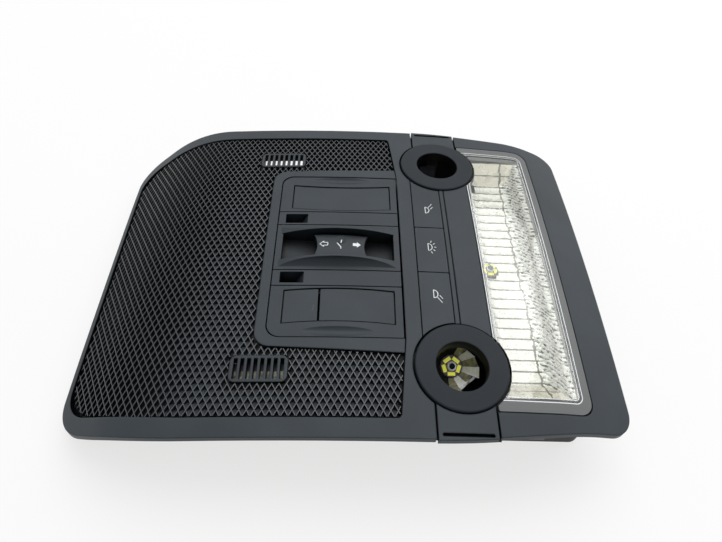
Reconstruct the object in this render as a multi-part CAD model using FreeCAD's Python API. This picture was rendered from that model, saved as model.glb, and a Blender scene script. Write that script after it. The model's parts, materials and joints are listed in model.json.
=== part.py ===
import FreeCAD, Part
import math
import os
from FreeCAD import Vector

# Overall face
LENGTH = 225.0
HALF_LENGTH = LENGTH / 2.0
SIDE_Y = 85.8
FRONT_CORNER_Y = 75.2
FRONT_BOW = 1.7
REAR_CORNER_Y = 79.8
FRONT_SWEEP_X = -79.3
FRONT_SWEEP_RADIUS = 125.0
FRONT_CORNER_RADIUS = 16.6
FRONT_BOW_RADIUS = 1800.0
REAR_CORNER_RADIUS = 10.5

# Crowned face line, seen from the side
APEX_HEIGHT = 40.0
APEX_X = 30.0
CROWN_RADIUS = 950.0
BEND_RADIUS = 64.0
FRONT_BEND_X = -62.0
FRONT_ANGLE = 36.0
REAR_BEND_X = 82.0
REAR_ANGLE = 19.5
END_RUN = 40.0
SWEEP_HALF_ANGLE = 6.6
DEEP = 46.0

# Walls and clearances
WALL = 2.5
JOINT_GAP = 0.4
TRIM_GAP = 0.8
SEAT_GAP = 0.15
SKIRT_DEPTH = 2.9
SKIRT_WALL = 1.8
LEDGE_TOP = 3.35
LEDGE_BOTTOM = 4.8
LEDGE_WALL = 1.8
LEDGE_REACH = 2.4

# Mesh grille
MESH_TOP = 0.5
MESH_BOTTOM = 3.2
MESH_SIDE_Y = 78.0
MESH_FRONT_X = -109.8
MESH_FRONT_Y = 69.2
MESH_SWEEP_X = -77.5
MESH_REAR_X = 21.4
PANEL_REAR_X = 24.4
CELL_X = 8.3
CELL_Y = 15.0
CELL_RIB = 1.3
POCKET_DEPTH = 1.8
BEZEL_X = -35.4
BEZEL_FRONT_Y = 49.8
BEZEL_REAR_Y = 52.4
BEZEL_RADIUS = 6.5
VENT_X = -32.1
VENT_Y = 59.5
VENT_LENGTH = 22.2
VENT_WIDTH = 10.8
VENT_SLOTS = 8
VENT_SLOT_PITCH = 2.55
VENT_SLOT_WIDTH = 1.5
VENT_SLOT_LENGTH = 8.5

# Switch panel
PANEL_FRONT_X = -31.2
PANEL_HALF_Y = 46.2
PANEL_RADIUS = 5.5
PANEL_TOP = 0.2
COVER_SEAM_Y = 21.4
STRIP_SEAM_Y = 13.1
INSERT_X0 = -25.4
INSERT_X1 = 21.0
INSERT_Y0 = 23.7
INSERT_Y1 = 40.0
INSERT_BOW = 1.3
INSERT_SPLIT_X = -10.45
INSERT_TOP = 0.5
INSERT_BOTTOM = 2.0
INSERT_GAP = 0.45
WINDOW_X0 = -27.6
WINDOW_X1 = -17.5
WINDOW_Y0 = 14.2
WINDOW_Y1 = 19.9
PANE_DEPTH = 4.5
SCOOP_X = -2.5
SCOOP_Y = 43.3
SCOOP_DEPTH = 0.9
SCOOP_RADIUS = 3.4
SCOOP_SWEEP = 130.0
SCOOP_REACH = 17.0
MODULE_BOTTOM_Z = 22.0
MODULE_WALL = 1.4
BOARD_THICK = 1.6

# Roof switch with sliding knob
CHANNEL_X0 = -28.0
CHANNEL_X1 = 21.5
CHANNEL_HALF_Y = 7.6
CHANNEL_DEPTH = 6.0
CHANNEL_WALL = 1.2
RIDGE_RISE = 3.8
RIDGE_FOOT_Y = 11.8
RIDGE_CREST = 0.8
RIDGE_COVE = 0.6
KNOB_X = -2.0
KNOB_LENGTH = 24.0
KNOB_HALF_Y = 6.3
KNOB_WAIST = 1.6
KNOB_BODY = 3.4
DIMPLE_Y = 3.4
DIMPLE_RADIUS = 9.0
DIMPLE_DEPTH = 0.35
KNOB_TRAVEL = 4.0
KNOB_PRESS = 1.5
STEM_X = 6.0
STEM_Y = 5.0
CARRIAGE_LENGTH = 17.0
CARRIAGE_HALF_Y = 5.2
CARRIAGE_HEIGHT = 5.4
RUN_GAP = 0.35

# Centre bar, buttons and reading lamps
RING_X = 46.0
RING_Y = 57.5
RING_RADIUS = 18.5
RING_HOLE = 10.3
RING_RISE = 0.6
RING_OUTER_ROLL = 0.7
RING_INNER_ROLL = 0.5
RING_DISH = 0.2
RING_TUBE_WALL = 1.4
RING_TUBE_DEPTH = 1.6
BAR_FRONT_X = 34.8
BAR_REAR_X = 57.0
BAR_STRIP_X0 = 45.3
BAR_STRIP_X1 = 59.4
BAR_DEPTH = 5.0
BAR_GROOVE_X = 47.3
BAR_END = 0.5
BAR_LIP_DEPTH = 2.8
BAR_LIP_REACH = 3.0
NOTCH_INSET = 1.6
NOTCH_WIDTH = 1.3
NOTCH_DEPTH = 2.2
NOTCH_SIDE = 1.5
SHELF_TOP = 2.9
BUTTON_X0 = 31.6
BUTTON_X1 = 44.9
BUTTON_SEAM_Y = 13.0
BUTTON_TRAVEL = 1.2
BUTTON_STEM = 4.0
SWITCH_X = 38.2
OUTER_SWITCH_Y = 27.5
LAMP_TILT = 29.0
LAMP_LED_X = 45.0
LAMP_LED_Y = 49.7
LAMP_LED_DEPTH = 16.0
LAMP_BOWL_TOP = 5.5
LAMP_PAD_RADIUS = 4.4

# Dome light
LENS_X0 = 59.8
LENS_X1 = 96.0
LENS_HALF_Y = 75.2
LENS_RADIUS = 6.0
LENS_WALL = 2.4
LENS_BORDER_X = 4.2
LENS_BORDER_Y = 5.0
LENS_FRAME_WALL = 1.2
LENS_FRAME_DEPTH = 4.6
DOME_LED_X = 68.0
FLUTE_PITCH = 5.2
FLUTE_COUNT = 25
REFLECTOR_FLOOR_Z = 23.0
REFLECTOR_FRONT_DROP = 7.6
REFLECTOR_REAR_DROP = 8.4
REFLECTOR_GAP = 1.2

# Rear housing and boards
HOUSING_WALL = 2.0
HOUSING_TOP = 5.25
TRAY_X0 = 25.0
TRAY_X1 = 103.0
TRAY_HALF_Y = 71.5
NECK_X0 = -36.0
NECK_HALF_Y = 50.0
BOARD_TOP_Z = APEX_HEIGHT - 22.0
PILLAR_RADIUS = 3.0
EAR_X = -43.0
EAR_Y = 30.0
EAR_HOLE = 5.2
EAR_Z = 12.0
EAR_WIDTH = 14.0
EAR_THICK = 3.0
EAR_RIB = 1.6
SOCKET_X = 78.0
SOCKET_LENGTH = 32.0
SOCKET_WIDTH = 18.0
SOCKET_WALL = 1.6
SOCKET_GAP = 1.0
SOCKET_PINS = 9
SOCKET_PITCH = 3.0
SOCKET_PIN_LOW = 7.5
SOCKET_LOW = 1.0

LAYERS = {}


def normal_at(angle):
    """Outward direction of the face line at an angle from straight up."""
    return Vector(math.sin(angle), 0, math.cos(angle))


def along_at(angle):
    """Rearward direction of the face line at an angle from straight up."""
    return Vector(math.cos(angle), 0, -math.sin(angle))


def face_line(depth):
    """Edges of the lengthwise face line, front to rear, at a depth under the outer face."""
    centre = Vector(APEX_X, 0, APEX_HEIGHT - CROWN_RADIUS)
    a_front = math.asin((FRONT_BEND_X - APEX_X) / CROWN_RADIUS)
    a_rear = math.asin((REAR_BEND_X - APEX_X) / CROWN_RADIUS)
    b_front = -math.radians(FRONT_ANGLE)
    b_rear = math.radians(REAR_ANGLE)
    front_c = centre + normal_at(a_front) * (CROWN_RADIUS - BEND_RADIUS)
    rear_c = centre + normal_at(a_rear) * (CROWN_RADIUS - BEND_RADIUS)
    r_crown = CROWN_RADIUS - depth
    r_bend = BEND_RADIUS - depth
    p1 = front_c + normal_at(b_front) * r_bend
    p0 = p1 - along_at(b_front) * END_RUN
    p2 = centre + normal_at(a_front) * r_crown
    p3 = centre + normal_at(a_rear) * r_crown
    p4 = rear_c + normal_at(b_rear) * r_bend
    p5 = p4 + along_at(b_rear) * END_RUN
    m12 = front_c + normal_at((a_front + b_front) / 2.0) * r_bend
    m23 = centre + normal_at((a_front + a_rear) / 2.0) * r_crown
    m34 = rear_c + normal_at((a_rear + b_rear) / 2.0) * r_bend
    edges = [Part.LineSegment(p0, p1).toShape()]
    edges.append(Part.Arc(p1, m12, p2).toShape())
    edges.append(Part.Arc(p2, m23, p3).toShape())
    edges.append(Part.Arc(p3, m34, p4).toShape())
    edges.append(Part.LineSegment(p4, p5).toShape())
    return edges, p0, p5


def layer(top, bottom):
    """Crowned solid between two depths under the outer face."""
    key = (round(top, 4), round(bottom, 4))
    if key not in LAYERS:
        upper, u0, u1 = face_line(top)
        lower, l0, l1 = face_line(bottom)
        ends = [Part.LineSegment(u1, l1).toShape(), Part.LineSegment(l0, u0).toShape()]
        wire = Part.Wire(Part.__sortEdges__(upper + lower + ends))
        base = Vector(0, 0, APEX_HEIGHT - CROWN_RADIUS)
        face = Part.Face(wire)
        face.rotate(base, Vector(1, 0, 0), -SWEEP_HALF_ANGLE)
        LAYERS[key] = face.revolve(base, Vector(1, 0, 0), 2.0 * SWEEP_HALF_ANGLE)
    return LAYERS[key]


def crown_z(x, y, depth=0.0):
    """Height of the crowned face over a plan point between the two bends."""
    r = CROWN_RADIUS - depth
    return APEX_HEIGHT - CROWN_RADIUS + math.sqrt(r * r - (x - APEX_X) ** 2 - y * y)


def on_crown(shape, x, y):
    """Move a shape made at the origin so that its Z axis stands square on the crown."""
    out = Vector((x - APEX_X) / CROWN_RADIUS, y / CROWN_RADIUS, 1.0)
    turn = FreeCAD.Rotation(Vector(0, 0, 1), out)
    moved = shape.copy()
    stand = FreeCAD.Placement(Vector(x, y, crown_z(x, y)), turn)
    moved.Placement = stand.multiply(shape.Placement)
    return moved


def outline(corners):
    """Plan face from corners given as x, y, radius in order round the edge."""
    edges = []
    starts = []
    ends = []
    mids = []
    count = len(corners)
    for i in range(count):
        x, y, r = corners[i]
        here = Vector(x, y, 0)
        before = Vector(corners[i - 1][0], corners[i - 1][1], 0)
        after = Vector(corners[(i + 1) % count][0], corners[(i + 1) % count][1], 0)
        d0 = (before - here).normalize()
        d1 = (after - here).normalize()
        half = math.acos(max(-1.0, min(1.0, d0.dot(d1)))) / 2.0
        reach = r / math.tan(half) if r > 0 else 0.0
        starts.append(here + d0 * reach)
        ends.append(here + d1 * reach)
        if r > 0:
            inward = (d0 + d1).normalize()
            mids.append(here + inward * (r / math.sin(half) - r))
        else:
            mids.append(here)
    for i in range(count):
        if corners[i][2] > 0:
            edges.append(Part.Arc(starts[i], mids[i], ends[i]).toShape())
        nxt = (i + 1) % count
        if (starts[nxt] - ends[i]).Length > 1e-4:
            edges.append(Part.LineSegment(ends[i], starts[nxt]).toShape())
    return Part.Face(Part.Wire(edges))


def mirrored_outline(half):
    """Plan face from the +Y half of its corners, mirrored in the lengthwise middle plane."""
    other = [(x, -y, r) for x, y, r in reversed(half) if y > 0]
    return outline(half + other)


def rect(x0, x1, y0, y1, radius=0.0):
    """Plan rectangle with rounded corners."""
    return outline([(x0, y0, radius), (x1, y0, radius), (x1, y1, radius), (x0, y1, radius)])


def disc(x, y, radius):
    """Plan disc."""
    return Part.Face(Part.Wire(Part.Circle(Vector(x, y, 0), Vector(0, 0, 1), radius).toShape()))


def grown(face, distance):
    """Plan face with its edge moved outward, or inward for a negative distance."""
    return face.makeOffset2D(distance, 0, False, False, False)


def prism(face, z0=-20.0, z1=70.0):
    """Upright solid over a plan face."""
    moved = face.copy()
    moved.translate(Vector(0, 0, z0))
    return moved.extrude(Vector(0, 0, z1 - z0))


def plate(face, top, bottom):
    """Crowned plate of a plan outline between two depths."""
    return layer(top, bottom).common(prism(face))


def body(face, top, z_bottom):
    """Block of a plan outline from a depth under the face down to a flat level."""
    return layer(top, DEEP).common(prism(face, z_bottom))


def box(x0, x1, y0, y1, z0, z1):
    """Plain block between two corners."""
    return Part.makeBox(x1 - x0, y1 - y0, z1 - z0, Vector(x0, y0, z0))


def mirror_y(shape):
    """The same shape on the other side of the lengthwise middle plane."""
    return shape.mirror(Vector(0, 0, 0), Vector(0, 1, 0))


def fuse_all(shapes):
    """One clean solid from shapes that touch or overlap."""
    result = shapes[0]
    if len(shapes) > 1:
        result = result.multiFuse(shapes[1:])
    return result.removeSplitter()


def outer_face():
    """Whole plan outline of the console."""
    half = [(HALF_LENGTH, REAR_CORNER_Y, REAR_CORNER_RADIUS)]
    half.append((45.0, SIDE_Y, 300.0))
    half.append((FRONT_SWEEP_X, SIDE_Y, FRONT_SWEEP_RADIUS))
    half.append((-HALF_LENGTH, FRONT_CORNER_Y, FRONT_CORNER_RADIUS))
    half.append((-HALF_LENGTH + FRONT_BOW, 0.0, FRONT_BOW_RADIUS))
    return mirrored_outline(half)


def opening_face():
    """Opening of the trim frame that holds the mesh grille and the switch panel."""
    half = [(PANEL_REAR_X, PANEL_HALF_Y, 0.0)]
    half.append((MESH_REAR_X, MESH_SIDE_Y, 1.5))
    half.append((MESH_SWEEP_X, MESH_SIDE_Y, 156.0))
    half.append((MESH_FRONT_X, MESH_FRONT_Y, 13.4))
    half.append((MESH_FRONT_X + FRONT_BOW, 0.0, FRONT_BOW_RADIUS))
    return mirrored_outline(half)


def panel_face(clearance):
    """Outline of the whole switch panel, shrunk by a clearance."""
    half = [(PANEL_REAR_X - clearance, PANEL_HALF_Y - clearance, 0.4)]
    half.append((PANEL_FRONT_X + clearance, PANEL_HALF_Y - clearance, PANEL_RADIUS))
    return mirrored_outline(half)


def bezel_face():
    """Outline of the smooth border round the switch panel."""
    half = [(PANEL_REAR_X + 1.0, BEZEL_REAR_Y, 0.0)]
    half.append((BEZEL_X, BEZEL_FRONT_Y, BEZEL_RADIUS))
    return mirrored_outline(half)


def lens_face(clearance):
    """Outline of the dome lens before the lamp rings bite into it."""
    half = [(LENS_X1 - clearance, LENS_HALF_Y - clearance, LENS_RADIUS)]
    half.append((BAR_REAR_X + TRIM_GAP + clearance, LENS_HALF_Y - clearance, 0.6))
    return mirrored_outline(half)


def ring_cut(radius):
    """Upright round cutters for both lamp rings."""
    both = [prism(disc(RING_X, RING_Y, radius)), prism(disc(RING_X, -RING_Y, radius))]
    return Part.makeCompound(both)


def bar_keepout():
    """Room that the trims leave for the bar, the rings and the buttons."""
    x0 = BAR_FRONT_X - TRIM_GAP
    x1 = BAR_REAR_X + TRIM_GAP
    parts = [prism(rect(x0, x1, RING_Y, 100.0)), prism(rect(x0, x1, -100.0, -RING_Y))]
    parts.append(prism(rect(BUTTON_X0 - JOINT_GAP, BAR_STRIP_X1 + JOINT_GAP, -RING_Y, RING_Y)))
    parts.extend(ring_cut(RING_RADIUS + TRIM_GAP).Solids)
    return fuse_all(parts)


def make_trim_frame():
    """Front trim: rim round the grille and the cross strip, with skirt and holding ledge."""
    outer = outer_face()
    opening = grown(opening_face(), JOINT_GAP)
    side = prism(rect(-150.0, RING_X, -120.0, 120.0))
    rim = plate(outer, 0.0, WALL).cut(prism(opening))
    skirt = plate(outer, 0.0, SKIRT_DEPTH).cut(prism(grown(outer, -SKIRT_WALL)))
    hold = plate(grown(opening, LEDGE_WALL), 0.0, LEDGE_BOTTOM).cut(prism(opening))
    lip = plate(grown(opening, 0.2), LEDGE_TOP, LEDGE_BOTTOM)
    lip = lip.cut(prism(grown(opening, -LEDGE_REACH)))
    lip = lip.cut(prism(rect(PANEL_FRONT_X, 60.0, -BEZEL_REAR_Y, BEZEL_REAR_Y)))
    whole = fuse_all([rim, skirt, hold, lip])
    return whole.common(side).cut(bar_keepout())


def vent_face(x, y, grow):
    """Outline of one vent plate."""
    hx = VENT_LENGTH / 2.0 + grow
    hy = VENT_WIDTH / 2.0 + grow
    return rect(x - hx, x + hx, y - hy, y + hy, 2.5)


def vent_slots():
    """Cutters of the slots of both vents."""
    cutters = []
    for side in (-1, 1):
        for i in range(VENT_SLOTS):
            x = VENT_X + (i - (VENT_SLOTS - 1) / 2.0) * VENT_SLOT_PITCH
            y = side * VENT_Y
            hx = VENT_SLOT_WIDTH / 2.0
            hy = VENT_SLOT_LENGTH / 2.0
            cutters.append(box(x - hx, x + hx, y - hy, y + hy, -20.0, 70.0))
    return cutters


def mesh_pockets():
    """Diamond cutters that fit whole between the grille edge, the border and the vents."""
    keep = grown(opening_face(), -1.4)
    bezel = grown(bezel_face(), 1.0)
    vents = [vent_face(VENT_X, VENT_Y, 1.0), vent_face(VENT_X, -VENT_Y, 1.0)]
    hx = CELL_X / 2.0 - CELL_RIB * 0.6
    hy = CELL_Y / 2.0 - CELL_RIB * 1.05
    cutters = []
    columns = int(280.0 / CELL_X) + 2
    rows = int(2.0 * MESH_SIDE_Y / CELL_Y) + 2
    for i in range(columns):
        for j in range(-2 * rows, 2 * rows + 1):
            if (i + j) % 2:
                continue
            x = MESH_FRONT_X + 4.0 + i * CELL_X / 2.0
            y = j * CELL_Y / 2.0
            tips = [Vector(x - hx, y, 0), Vector(x, y - hy, 0), Vector(x + hx, y, 0), Vector(x, y + hy, 0)]
            inside = all(keep.isInside(p, 1e-3, True) for p in tips)
            if not inside:
                continue
            blocked = any(bezel.isInside(p, 1e-3, True) for p in tips + [Vector(x, y, 0)])
            for vent in vents:
                blocked = blocked or any(vent.isInside(p, 1e-3, True) for p in tips + [Vector(x, y, 0)])
                for corner in vent.Vertexes:
                    dx = abs(corner.X - x) / (hx + 0.5)
                    dy = abs(corner.Y - y) / (hy + 0.5)
                    blocked = blocked or dx + dy < 1.0
            if blocked:
                continue
            cutters.append(prism(Part.Face(Part.makePolygon(tips + [tips[0]]))))
    return cutters


def make_mesh_grille():
    """Grille moulding: diamond pockets, two slotted vents and the smooth panel border."""
    field = opening_face()
    sheet = plate(field, MESH_TOP, MESH_BOTTOM)
    border = plate(bezel_face(), 0.0, MESH_BOTTOM).common(prism(field))
    vents = [plate(vent_face(VENT_X, s * VENT_Y, 0.0), 0.1, MESH_BOTTOM + 1.0) for s in (-1, 1)]
    whole = fuse_all([sheet, border] + vents)
    whole = whole.cut(prism(panel_face(0.0).fuse(rect(0.0, 60.0, -PANEL_HALF_Y, PANEL_HALF_Y))))
    floor = layer(-10.0, MESH_TOP + POCKET_DEPTH)
    pockets = [p.common(floor) for p in mesh_pockets()]
    whole = whole.cut(Part.makeCompound(pockets))
    return whole.cut(Part.makeCompound(vent_slots()))


def module_face(y0, y1):
    """Part of the switch panel outline between two seams."""
    face = panel_face(JOINT_GAP)
    return face.common(rect(-60.0, 60.0, y0 + JOINT_GAP / 2.0, y1 - JOINT_GAP / 2.0)).Faces[0]


def insert_face(x0, x1, clearance):
    """Bowed outline of the blank insert on the +Y side, bowed toward the middle plane."""
    y0 = INSERT_Y0 + clearance
    y1 = INSERT_Y1 - clearance
    left = x0 + clearance
    right = x1 - clearance
    middle = (INSERT_X0 + INSERT_X1) / 2.0
    half = (INSERT_X1 - INSERT_X0) / 2.0

    def bow(x):
        return -INSERT_BOW * (1.0 - ((x - middle) / half) ** 2)

    m = (left + right) / 2.0
    a = Vector(left, y0 + bow(left), 0)
    b = Vector(right, y0 + bow(right), 0)
    c = Vector(right, y1 + bow(right), 0)
    d = Vector(left, y1 + bow(left), 0)
    edges = [Part.Arc(a, Vector(m, y0 + bow(m), 0), b).toShape()]
    edges.append(Part.LineSegment(b, c).toShape())
    edges.append(Part.Arc(c, Vector(m, y1 + bow(m), 0), d).toShape())
    edges.append(Part.LineSegment(d, a).toShape())
    return Part.Face(Part.Wire(edges))


def finger_scoop():
    """Barrel cutter of the long shallow finger scoop on the +Y side."""
    r = SCOOP_RADIUS
    end = r - SCOOP_REACH ** 2 / (2.0 * SCOOP_SWEEP)
    a = Vector(-SCOOP_REACH, 0, end)
    b = Vector(SCOOP_REACH, 0, end)
    low0 = Vector(-SCOOP_REACH, 0, 0)
    low1 = Vector(SCOOP_REACH, 0, 0)
    edges = [Part.Arc(a, Vector(0, 0, r), b).toShape(), Part.LineSegment(b, low1).toShape()]
    edges.append(Part.LineSegment(low1, low0).toShape())
    edges.append(Part.LineSegment(low0, a).toShape())
    barrel = Part.Face(Part.Wire(edges)).revolve(Vector(0, 0, 0), Vector(1, 0, 0), 360)
    barrel.translate(Vector(0, 0, r - SCOOP_DEPTH - PANEL_TOP))
    return on_crown(barrel, SCOOP_X, SCOOP_Y)


def make_cover():
    """Outer switch cover on the +Y side with its insert opening, ledge and finger scoop."""
    face = module_face(COVER_SEAM_Y, PANEL_HALF_Y + 5.0)
    top = plate(face, PANEL_TOP, WALL)
    walls = body(face, PANEL_TOP, MODULE_BOTTOM_Z).cut(prism(grown(face, -MODULE_WALL)))
    ledge = plate(insert_face(INSERT_X0, INSERT_X1, -0.4), INSERT_BOTTOM + SEAT_GAP, INSERT_BOTTOM + 1.4)
    ledge = ledge.cut(prism(insert_face(INSERT_X0, INSERT_X1, 1.6)))
    opening = layer(-10.0, INSERT_BOTTOM + SEAT_GAP).common(prism(insert_face(INSERT_X0, INSERT_X1, 0.0)))
    whole = fuse_all([top, walls, ledge]).cut(opening)
    whole = whole.cut(prism(insert_face(INSERT_X0, INSERT_X1, 1.6)))
    return whole.cut(finger_scoop())


def make_insert(x0, x1, clearance):
    """Plate that fills an insert opening on the +Y side."""
    return plate(insert_face(x0, x1, clearance), INSERT_TOP, INSERT_BOTTOM)


def make_window_strip():
    """Narrow strip on the +Y side with a square window and side walls."""
    face = module_face(STRIP_SEAM_Y, COVER_SEAM_Y)
    top = plate(face, PANEL_TOP, WALL)
    walls = body(face, PANEL_TOP, MODULE_BOTTOM_Z).cut(prism(grown(face, -MODULE_WALL)))
    whole = fuse_all([top, walls])
    return whole.cut(prism(rect(WINDOW_X0, WINDOW_X1, WINDOW_Y0, WINDOW_Y1, 0.3)))


def make_window_pane():
    """Dark block behind the square window on the +Y side."""
    y0 = STRIP_SEAM_Y + JOINT_GAP / 2.0 + MODULE_WALL + SEAT_GAP
    y1 = COVER_SEAM_Y - JOINT_GAP / 2.0 - MODULE_WALL - SEAT_GAP
    face = rect(WINDOW_X0 - 0.8, WINDOW_X1 + 2.0, y0, y1)
    return body(face, WALL + PANE_DEPTH, MODULE_BOTTOM_Z)


def ridge(side):
    """Arched finger guard beside the channel, highest in the middle, with a hollow outer flank."""
    x0 = CHANNEL_X0 - 1.4
    x1 = CHANNEL_X1 + 1.2
    middle = (x0 + x1) / 2.0
    sunk = PANEL_TOP + 0.2
    a = Vector(x0, CHANNEL_HALF_Y, crown_z(x0, CHANNEL_HALF_Y, sunk))
    b = Vector(x1, CHANNEL_HALF_Y, crown_z(x1, CHANNEL_HALF_Y, sunk))
    top = crown_z(middle, CHANNEL_HALF_Y) + RIDGE_RISE
    low0 = a - Vector(0, 0, 1.4)
    low1 = b - Vector(0, 0, 1.4)
    edges = [Part.Arc(a, Vector(middle, CHANNEL_HALF_Y, top), b).toShape()]
    edges.append(Part.LineSegment(b, low1).toShape())
    edges.append(Part.LineSegment(low1, low0).toShape())
    edges.append(Part.LineSegment(low0, a).toShape())
    solid = Part.Face(Part.Wire(edges)).extrude(Vector(0, RIDGE_FOOT_Y - CHANNEL_HALF_Y, 0))
    start = x0 - 5.0
    slope = (b.z - a.z) / (x1 - x0)
    foot = a.z - 5.0 * slope - 0.1
    rise = foot + RIDGE_RISE + 1.6
    crest = Vector(start, CHANNEL_HALF_Y + RIDGE_CREST, rise)
    edge = Vector(start, RIDGE_FOOT_Y + 0.1, foot)
    cove = (crest + edge) * 0.5 - Vector(0, RIDGE_COVE, RIDGE_COVE)
    far = [edge, Vector(start, RIDGE_FOOT_Y + 9.0, foot), Vector(start, RIDGE_FOOT_Y + 9.0, rise + 9.0)]
    far.append(Vector(start, CHANNEL_HALF_Y + RIDGE_CREST, rise + 9.0))
    far.append(crest)
    flank = [Part.Arc(crest, cove, edge).toShape()]
    for p, q in zip(far[:-1], far[1:]):
        flank.append(Part.LineSegment(p, q).toShape())
    reach = x1 - x0 + 10.0
    solid = solid.cut(Part.Face(Part.Wire(flank)).extrude(Vector(reach, 0, reach * slope)))
    return solid if side > 0 else mirror_y(solid)


def channel_floor_z():
    """Level of the channel floor of the roof switch."""
    return crown_z(KNOB_X, 0.0) - CHANNEL_DEPTH


def make_sunroof_housing():
    """Middle switch body: arched guards, open channel with a slotted floor, side walls."""
    face = module_face(-STRIP_SEAM_Y, STRIP_SEAM_Y)
    top = plate(face, PANEL_TOP, WALL)
    walls = body(face, PANEL_TOP, MODULE_BOTTOM_Z).cut(prism(grown(face, -MODULE_WALL)))
    floor_z = channel_floor_z()
    w = CHANNEL_WALL
    x0 = CHANNEL_X0 - w
    x1 = CHANNEL_X1 + w
    y1 = CHANNEL_HALF_Y + w
    well = body(rect(x0, x1, -y1, y1), PANEL_TOP + 0.5, floor_z - w)
    hollow = box(CHANNEL_X0, CHANNEL_X1, -CHANNEL_HALF_Y, CHANNEL_HALF_Y, floor_z, 70.0)
    reach = STEM_X / 2.0 + KNOB_TRAVEL + RUN_GAP
    slot = box(KNOB_X - reach, KNOB_X + reach, -STEM_Y / 2.0 - RUN_GAP, STEM_Y / 2.0 + RUN_GAP, 0.0, 70.0)
    whole = fuse_all([top, walls, well, ridge(1), ridge(-1)])
    return whole.cut(hollow).cut(slot)


def knob_face(grow):
    """Outline of the knob with its two hollow ends."""
    hx = KNOB_LENGTH / 2.0 + grow
    hy = KNOB_HALF_Y + grow
    a = Vector(KNOB_X - hx, -hy, 0)
    b = Vector(KNOB_X + hx, -hy, 0)
    c = Vector(KNOB_X + hx, hy, 0)
    d = Vector(KNOB_X - hx, hy, 0)
    edges = [Part.LineSegment(a, b).toShape()]
    edges.append(Part.Arc(b, Vector(KNOB_X + hx - KNOB_WAIST, 0, 0), c).toShape())
    edges.append(Part.LineSegment(c, d).toShape())
    edges.append(Part.Arc(d, Vector(KNOB_X - hx + KNOB_WAIST, 0, 0), a).toShape())
    return Part.Face(Part.Wire(edges))


def make_knob():
    """Sliding knob with a hollow-ended cap and a stem through the channel floor."""
    top = crown_z(KNOB_X, 0.0)
    cap = prism(knob_face(0.0), top - KNOB_BODY, top + 3.0)
    crest = Part.makeCylinder(110.0, 60.0, Vector(KNOB_X, -30.0, top + 0.5 - 110.0), Vector(0, 1, 0))
    cap = cap.common(crest)
    dimple = Part.makeSphere(DIMPLE_RADIUS, Vector(KNOB_X, DIMPLE_Y, top + 0.5 - DIMPLE_DEPTH + DIMPLE_RADIUS))
    cap = cap.cut(dimple)
    stem_low = carriage_bottom_z() + 2.0
    x = KNOB_X
    stem = box(x - STEM_X / 2.0, x + STEM_X / 2.0, -STEM_Y / 2.0, STEM_Y / 2.0, stem_low, top - KNOB_BODY + 0.2)
    return fuse_all([cap, stem])


def carriage_bottom_z():
    """Underside of the sliding carriage."""
    return channel_floor_z() - CHANNEL_WALL - RUN_GAP - CARRIAGE_HEIGHT


def make_carriage():
    """Carriage that slides under the channel floor and guides the knob stem."""
    z0 = carriage_bottom_z()
    hx = CARRIAGE_LENGTH / 2.0
    block = box(KNOB_X - hx, KNOB_X + hx, -CARRIAGE_HALF_Y, CARRIAGE_HALF_Y, z0, z0 + CARRIAGE_HEIGHT)
    sx = STEM_X / 2.0 + RUN_GAP
    sy = STEM_Y / 2.0 + RUN_GAP
    return block.cut(box(KNOB_X - sx, KNOB_X + sx, -sy, sy, z0 - 1.0, z0 + CARRIAGE_HEIGHT + 1.0))


def make_slide_base():
    """Guide trough under the carriage, standing on the switch board."""
    top = carriage_bottom_z() - RUN_GAP
    hx = CARRIAGE_LENGTH / 2.0 + KNOB_TRAVEL + RUN_GAP
    w = 1.3
    hy = CARRIAGE_HALF_Y + RUN_GAP
    rail = top + CARRIAGE_HEIGHT * 0.7
    outer = box(KNOB_X - hx - w, KNOB_X + hx + w, -hy - w, hy + w, MODULE_BOTTOM_Z, rail)
    return outer.cut(box(KNOB_X - hx, KNOB_X + hx, -hy, hy, top, rail + 5.0))


def make_switch_board():
    """Circuit board under the switch modules."""
    z1 = MODULE_BOTTOM_Z - SEAT_GAP
    board = prism(panel_face(1.2), z1 - BOARD_THICK, z1)
    chip = box(-22.0, -10.0, 28.0, 40.0, z1 - BOARD_THICK - 2.2, z1 - BOARD_THICK + 0.1)
    driver = box(4.0, 16.0, -38.0, -29.0, z1 - BOARD_THICK - 2.6, z1 - BOARD_THICK + 0.1)
    return fuse_all([board, chip, driver])


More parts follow.
